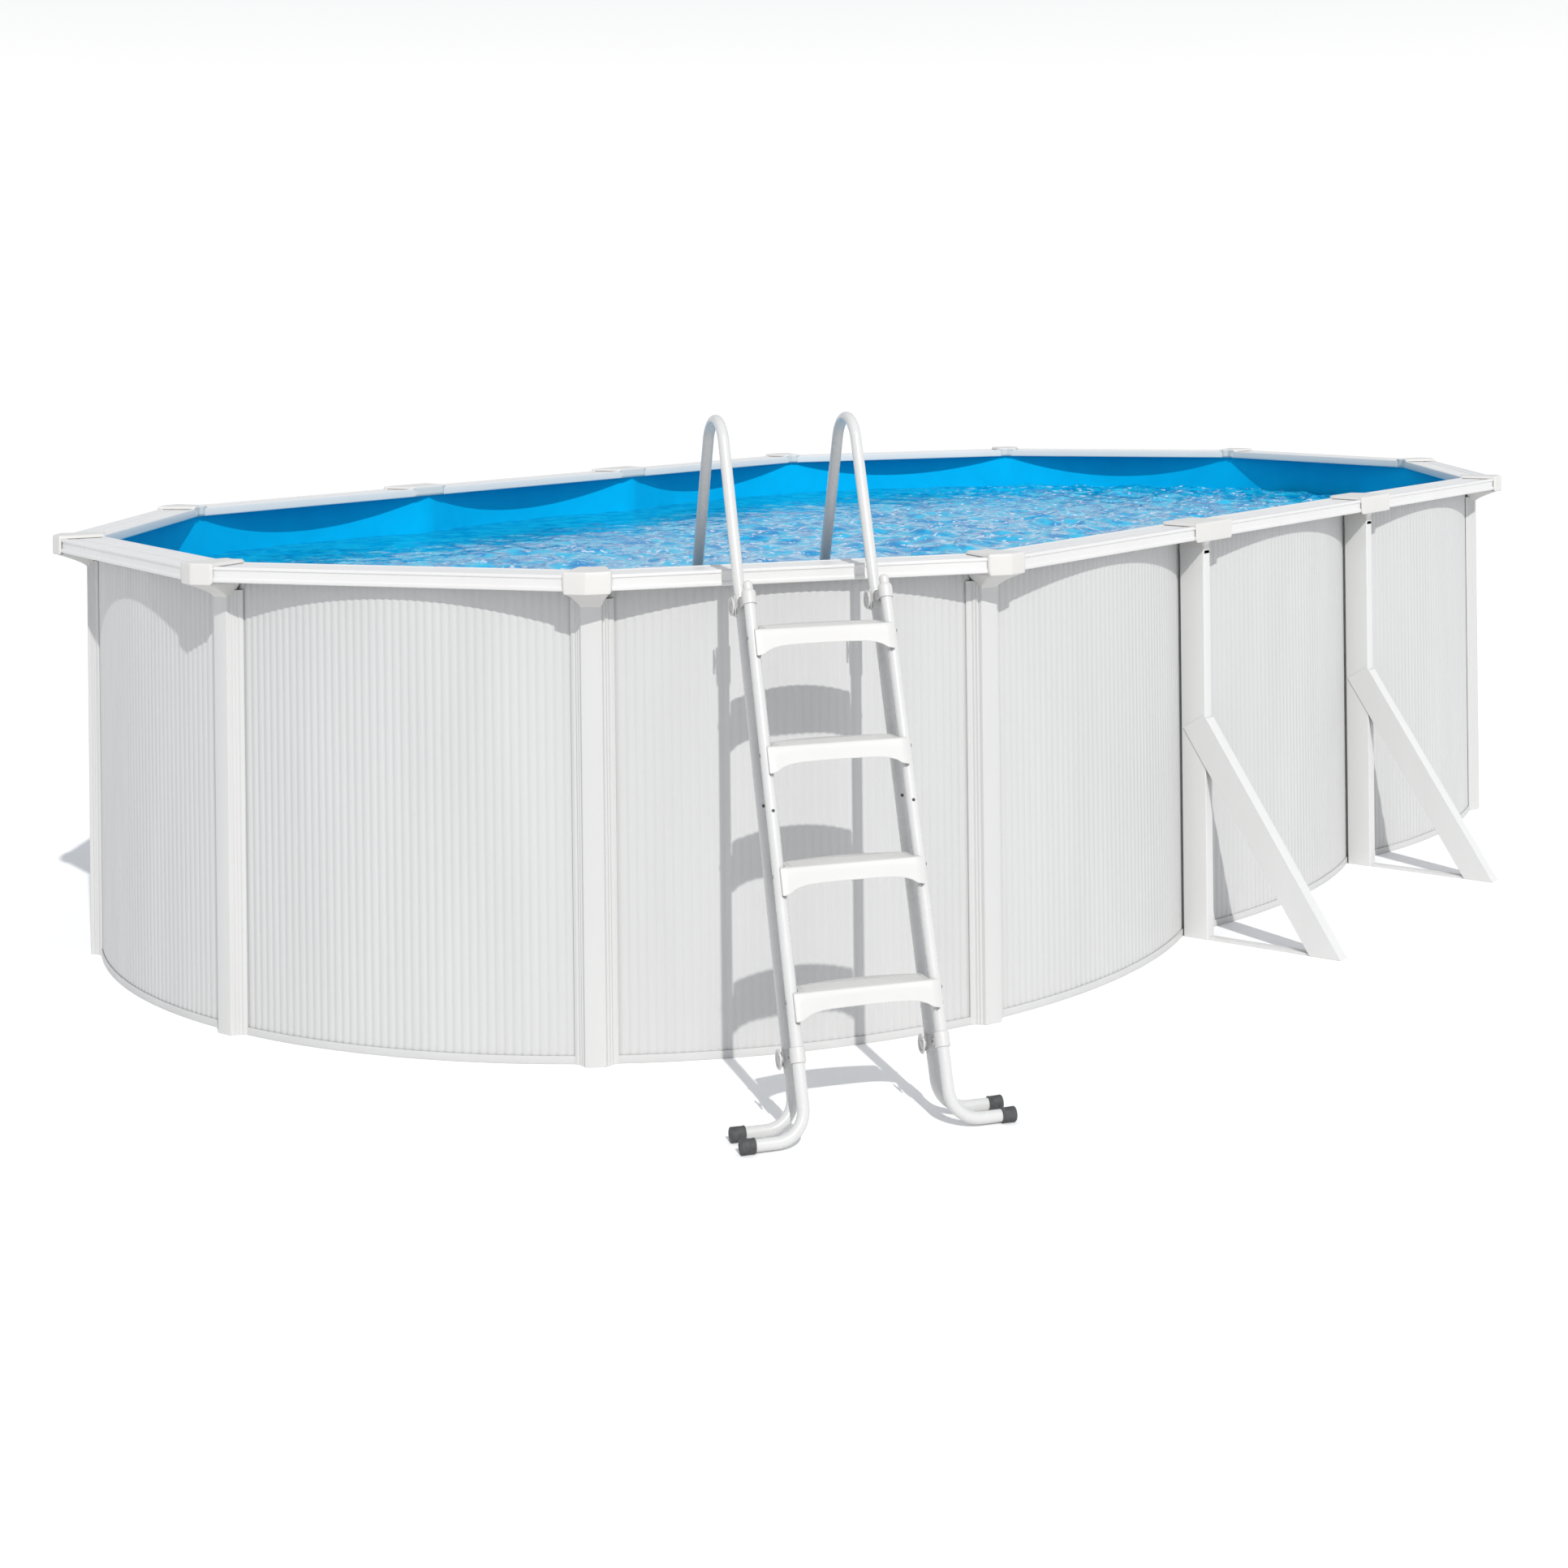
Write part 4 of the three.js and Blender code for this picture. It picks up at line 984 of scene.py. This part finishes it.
# ---- ladder: steps
def step_plan():
    """The outline of a step seen from above, counterclockwise, with a hollow round each tube."""
    stretch = 1 / math.cos(SLOPE_ANGLE)  # a level cut through a leaning tube is an ellipse
    bore = TUBE_RADIUS + GAP
    back = STEP_END_DEPTH - STEP_NOSE
    front_bow, rear_bow = 0.0025, STEP_DEPTH - STEP_END_DEPTH
    front_half, rear_half = STEP_HALF_WIDTH - 0.004, STEP_BODY_HALF_WIDTH - STEP_CORNER
    front_shares = [step / 12 - 1 for step in range(25)]
    front = [(share * front_half, front_bow * (1 - share * share) - STEP_NOSE) for share in front_shares]
    right = [(STEP_HALF_WIDTH - 0.001, 0.0012 - STEP_NOSE), (STEP_HALF_WIDTH, 0.0045 - STEP_NOSE)]
    arc_start = math.asin((STEP_HALF_WIDTH - LEG_HALF_SPACING) / bore)
    for step in range(9):  # round the front and inner quarter of the tube
        angle = -math.pi / 2 + arc_start - (math.pi / 2 + arc_start - 0.30) * step / 8
        right.append((LEG_HALF_SPACING + bore * math.cos(angle), bore * stretch * math.sin(angle)))
    right.append((STEP_BODY_HALF_WIDTH, 0.004))
    right += [(STEP_BODY_HALF_WIDTH - STEP_CORNER * across, back - STEP_CORNER * down)
              for across, down in quarter(4)[:4]]
    rear_shares = [1 - step / 6 for step in range(13)]
    rear = [(share * rear_half, back + rear_bow * (1 - share * share)) for share in rear_shares]
    left = [(-x, y) for x, y in right[::-1]]
    return [Vector(point) for point in front + right + rear + left]


def skirt_depth(x):
    """How far a step's front reaches down: an arch that deepens towards the tubes."""
    share = min(abs(x) / (STEP_HALF_WIDTH - 0.016), 1)
    return STEP_HEIGHT + (STEP_END_HEIGHT - STEP_HEIGHT) * (0.12 * share ** 2 + 0.88 * share ** 7)


def step_shape():
    """A moulded step, hollow from below, with ribs across its underside and treads on top."""
    plan = step_plan()
    rings = []
    edge = 0.004
    for share, drop in ((1.0, 0.2), (0.55, 0.32), (0.2, 0.6), (0.0, 1.0)):
        rings.append([(point, -drop * edge) for point in inset(plan, share * edge)])
    for share in (0.35, 0.7):
        rings.append([(point, -edge - share * (skirt_depth(point.x) - 2 * edge)) for point in plan])
    for inwards, rise in ((0.0, 0.002), (0.0012, 0.0), (0.0022, 0.0)):
        rings.append([(point, rise - skirt_depth(point.x)) for point in inset(plan, inwards)])
    rings.append([(point, -0.0065) for point in inset(plan, 0.0032)])
    lean = [[Vector((x, y + LEG_SLOPE * height, height)) for (x, y), height in ring] for ring in rings]
    shape = Shape().loft(lean[::-1])
    for number in range(5):
        shape.join(tread_bar(number))
    for number in range(-3, 4):
        shape.join(under_rib(number * 0.046))
    return shape


def tread_bar(number):
    """One of the raised bars that run along the tread."""
    y = -STEP_NOSE + 0.012 + number * 0.012
    reach = STEP_BODY_HALF_WIDTH - 0.014
    return block((-reach, y - 0.0022, -0.001), (reach, y + 0.0022, 0.0), 0.0009)


def under_rib(x):
    """A thin rib from the front of a step to its back, leaning with it."""
    front = -STEP_NOSE + 0.0055
    share = abs(x) / STEP_BODY_HALF_WIDTH
    back = STEP_END_DEPTH - STEP_NOSE + (STEP_DEPTH - STEP_END_DEPTH) * (1 - share * share) - 0.003
    top, low = -0.005, -skirt_depth(x) + 0.006
    outline = [(front, top), (back, top), (back, low), (front, low)]
    sides = (x - 0.001, x + 0.001)
    return Shape().loft([[Vector((side, y + LEG_SLOPE * z, z)) for y, z in outline] for side in sides])


def make_steps():
    """The outer steps on the step tubes, and the inner ones, turned round, on the frame."""
    for kind, body in (("step", STEPS), ("inner_step", POOL)):
        for name in sorted(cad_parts):
            if not name.startswith(kind + "_") or not name[-1].isdigit():
                continue
            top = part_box(name)[1].z
            turn = Matrix.Rotation(math.pi if body == POOL else 0, 4, "Z")
            out = inner_leg_at(top) if body == POOL else outer_leg_at(STEP_TUBE_FOOT, top)
            place = LADDER @ Matrix.Translation((0, -out, top)) @ turn
            moulding = step_shape().moved(place)
            make(f"{name}_moulding", moulding, LADDER_PLASTIC, body, [name])
            make(f"{name}_screws", step_screws().moved(place), SCREW_STEEL, body)


def step_screws():
    """Dome-headed screws through each tube into the step, and the pins under its two ends."""
    shape = Shape()
    screw_z, pin_z = -0.026, -STEP_END_HEIGHT
    for side, _ in SIDES:
        x = side * (LEG_HALF_SPACING + TUBE_RADIUS)
        place = Matrix.Translation((x, LEG_SLOPE * screw_z, screw_z)) @ along_x(side)
        shape.join(turned(STEP_SCREW_HEAD, 20), place)
        pin_x = side * (STEP_HALF_WIDTH - 0.008)
        pin_y = -STEP_NOSE + 0.0075 + LEG_SLOPE * pin_z
        shape.join(rod(0.0034, -0.005, 0.004, 0.0008, 16), Matrix.Translation((pin_x, pin_y, pin_z)))
    return shape


# ---- ladder: couplings, latches and knobs
def sleeve(radius, half_length, shoulder=0.0):
    """A moulded sleeve round a tube, centred on height 0, with rounded ends or a round shoulder on top."""
    edge = 0.0028
    bore = TUBE_RADIUS + GAP
    profile = [(bore, -half_length)]
    profile += [(radius - edge * across, edge * up - half_length) for up, across in quarter(4)[:4]]
    width = max(shoulder * 0.4, edge)
    fall = max(shoulder, edge)
    profile += [(radius - width * across, half_length - fall * down) for across, down in quarter(8)]
    profile.append((min(bore, radius - width), half_length))
    return turned(profile, 36, hollow=True)


def plate(across, along, half_height, edge=0.0015):
    """A block between two distances sideways and two along Y, centred on height 0."""
    return block((across[0], along[0], -half_height), (across[1], along[1], half_height), edge)


def coupling_barrel():
    """The step tube's half of a coupling: a sleeve and the tongue that turns between the cheeks."""
    tongue = plate(TONGUE, (TUBE_RADIUS + 0.0015, TUBE_SPACING / 2 + 0.009), 0.009)
    return sleeve(SLEEVE_RADIUS, SLEEVE_HALF, 0.0145).join(tongue)


def knob_boss():
    return rod(0.008, TUBE_RADIUS + 0.001, BOSS_END).moved(along_x(-1))


def coupling_clip():
    """The frame's half of a coupling: a sleeve, the knob's housing, two cheeks and the pin between them."""
    shape = sleeve(SLEEVE_RADIUS - 0.0004, 0.028)
    shape.join(plate((-BOSS_END + 0.001, -TUBE_RADIUS - 0.0015), (-0.012, 0.012), 0.026, 0.002))
    pivot = -TUBE_SPACING / 2
    for cheek in CHEEKS:
        shape.join(plate(cheek, (pivot - 0.008, -TUBE_RADIUS - 0.001), 0.012))
    pin_end = CHEEK_OUTER + 0.0015
    shape.join(rod(0.0036, -pin_end, pin_end, 0.0006, 20), Matrix.Translation((0, pivot, 0)) @ along_x())
    return shape.join(knob_boss())


def latch_sleeve():
    shape = sleeve(SLEEVE_RADIUS, SLEEVE_HALF)
    for cheek in CHEEKS:
        shape.join(plate(cheek, (TUBE_RADIUS + 0.001, TUBE_SPACING / 2 + 0.012), 0.009))
    return shape


def latch_bracket():
    shape = sleeve(SLEEVE_RADIUS - 0.001, SLEEVE_HALF)
    shape.join(plate(TONGUE, (-TUBE_SPACING / 2 + 0.004, -TUBE_RADIUS - 0.001), 0.010))
    return shape.join(knob_boss())


def knob_shape():
    """A hand knob: a dished disc with a scalloped rim, a hub and its stud, along the leg's X axis."""
    start = BOSS_END + GAP
    end = start + KNOB_THICKNESS
    near = [(0, 0), (0.013, 0), (0.0135, 0.0010), (0.022, 0.0010), (0.0243, 0.0016), (KNOB_RADIUS, 0.0030)]
    far = [(KNOB_RADIUS - 0.0003, 0.0010), (KNOB_RADIUS - 0.0016, 0), (0.0195, 0), (0.0182, 0.0012),
           (0.0172, 0.0034), (0.0085, 0.0034), (0.0078, 0.0026), (0.0070, 0.0010), (0.0055, 0.0006),
           (0, 0.0006)]
    profile = [(radius, start + rise) for radius, rise in near]
    profile += [(radius, end - fall) for radius, fall in far]
    segments, lobes = 72, 12
    angles = [2 * math.pi * index / segments for index in range(segments)]
    rings = []
    for radius, x in profile:
        depth = 0.0009 * max(radius - 0.020, 0) / 0.0055
        reaches = [radius - depth * (0.5 - 0.5 * math.cos(lobes * angle)) ** 2 for angle in angles]
        rings.append([Vector((-x, reach * math.cos(angle), reach * math.sin(angle)))
                      for reach, angle in zip(reaches, angles)])
    stud = rod(0.0032, TUBE_RADIUS + 0.002, start + 0.001, 0.0005, 16)
    return weld(Shape().loft(rings, ends=False)).join(stud, along_x(-1))


def cheek_screw():
    """A cross-head screw on the outer face of a left-hand cheek."""
    place = Matrix.Translation((-CHEEK_OUTER, TUBE_SPACING / 2 + 0.004, 0)) @ along_x(-1)
    return turned(LATCH_SCREW_HEAD, 20).moved(place)


def snap_button():
    """The dark round button that locks two lengths of tube, on the outer side of a leg."""
    place = Matrix.Translation((0, -TUBE_RADIUS, 0)) @ Matrix.Rotation(math.pi / 2, 4, "X")
    return turned(BUTTON_HEAD, 20).moved(place)


def make_fittings():
    """Couplings, latches, knobs, screws and buttons, each at its height along a leg."""
    top, low = COUPLING_HEIGHT, LATCH_HEIGHT
    for side, word in SIDES:
        for name, shape, inwards, height, body, finish, nodes in (
            ("coupling_barrel", coupling_barrel(), 0, top, STEPS, PLASTIC, ["coupling_sleeve"]),
            ("coupling_clip", coupling_clip(), 1, top, POOL, PLASTIC, ["coupling_clamp"]),
            ("latch_sleeve", latch_sleeve(), 0, low, STEPS, PLASTIC, ["latch"]),
            ("latch_bracket", latch_bracket(), 1, low, POOL, PLASTIC, ["ladder_frame"]),
            ("coupling_hand_knob", knob_shape(), 1, top, f"coupling_knob_{word}", PLASTIC, ["coupling_knob"]),
            ("latch_hand_knob", knob_shape(), 1, low, f"latch_knob_{word}", PLASTIC, ["latch_knob"]),
            ("latch_screw", cheek_screw(), 0, low, STEPS, STEEL, []),
            ("steps_button", snap_button(), 0, STEP_BUTTON, STEPS, RUBBER, []),
            ("frame_button", snap_button(), 1, FRAME_BUTTON, POOL, RUBBER, []),
        ):
            shape.moved(leg_frame(side, inwards * TUBE_SPACING, height))
            make(f"{name}_{word}", shape, finish[0], body, [f"{node}_{word}" for node in nodes])


# ---- stage
CAMERA_PLACE = Vector((-7.6144, -5.6049, 2.0297))
CAMERA_YAW = 0.6178
CAMERA_ROLL = -0.0109
CAMERA_LENS = 55.91
CAMERA_SHIFT = (-0.0738, -0.2995)
SUN_STRENGTH = 2.9
SUN_DIRECTION = Vector((-0.440, -0.607, 0.662))  # towards the sun


def make_camera():
    """The photograph's camera: level, turned to the pool, rolled a little, with a shifted frame."""
    forward = Vector((math.cos(CAMERA_YAW), math.sin(CAMERA_YAW), 0))
    level = Vector((math.sin(CAMERA_YAW), -math.cos(CAMERA_YAW), 0))
    vertical = Vector((0, 0, 1))
    right = level * math.cos(CAMERA_ROLL) + vertical * math.sin(CAMERA_ROLL)
    up = vertical * math.cos(CAMERA_ROLL) - level * math.sin(CAMERA_ROLL)
    camera = add_object("camera", bpy.data.cameras.new("camera"))
    camera.data.sensor_width = 36
    camera.data.lens = CAMERA_LENS
    camera.data.shift_x, camera.data.shift_y = CAMERA_SHIFT
    turn = Matrix((right, up, -forward)).transposed().to_4x4()
    camera.matrix_world = Matrix.Translation(CAMERA_PLACE) @ turn
    bpy.context.scene.camera = camera


def make_floor():
    """A pale floor that reaches the horizon, finer near the pool."""
    radius, rings, spokes = 60.0, 6, 64
    reaches = [radius * (ring / rings) ** 2 + 0.01 for ring in range(rings + 1)]
    shape = Shape().loft([at_height(circle(reach, spokes), -0.0005) for reach in reaches])
    shape.faces = shape.faces[:-2]  # without the caps of the innermost and outermost rings
    material, tree, shader, place = new_material(
        "floor_white", (0.84, 0.84, 0.84), 0.9, Emission_Color=(1, 1, 1, 1), Emission_Strength=0.05)
    clouds = noise(tree, place, scale=0.7)
    connect(tree, shader, Base_Color=ramp(tree, clouds, (0.83, 0.83, 0.83), (0.85, 0.85, 0.85)))
    floor = add_mesh("floor", shape)
    floor.data.materials.append(material)


def make_light():
    """The sun, and a sky that is white near the horizon and a pale blue grey above."""
    sun = bpy.data.lights.new("sun", "SUN")
    sun.energy = SUN_STRENGTH
    sun.angle = math.radians(0.8)
    sun.color = (1.0, 0.985, 0.96)
    add_object("sun", sun).rotation_euler = SUN_DIRECTION.to_track_quat("Z", "Y").to_euler()
    world = bpy.data.worlds.new("studio")
    world.use_nodes = True
    tree = world.node_tree
    place = add_node(tree, "TexCoord").outputs["Generated"]
    height = add_node(tree, "SeparateXYZ", Vector=place).outputs["Z"]
    sky = ramp(tree, height, (1.0, 1.0, 1.0), (0.59, 0.62, 0.67), start=0.10, end=0.30)
    connect(tree, tree.nodes["Background"], Color=sky)
    bpy.context.scene.world = world
    bpy.context.scene.view_settings.view_transform = "Standard"


make_camera()
make_wall()
make_bottom_track()
make_liner()
make_water()
make_rails()
make_posts()
make_buttresses()
make_tubes()
make_feet()
make_steps()
make_fittings()
make_floor()
make_light()
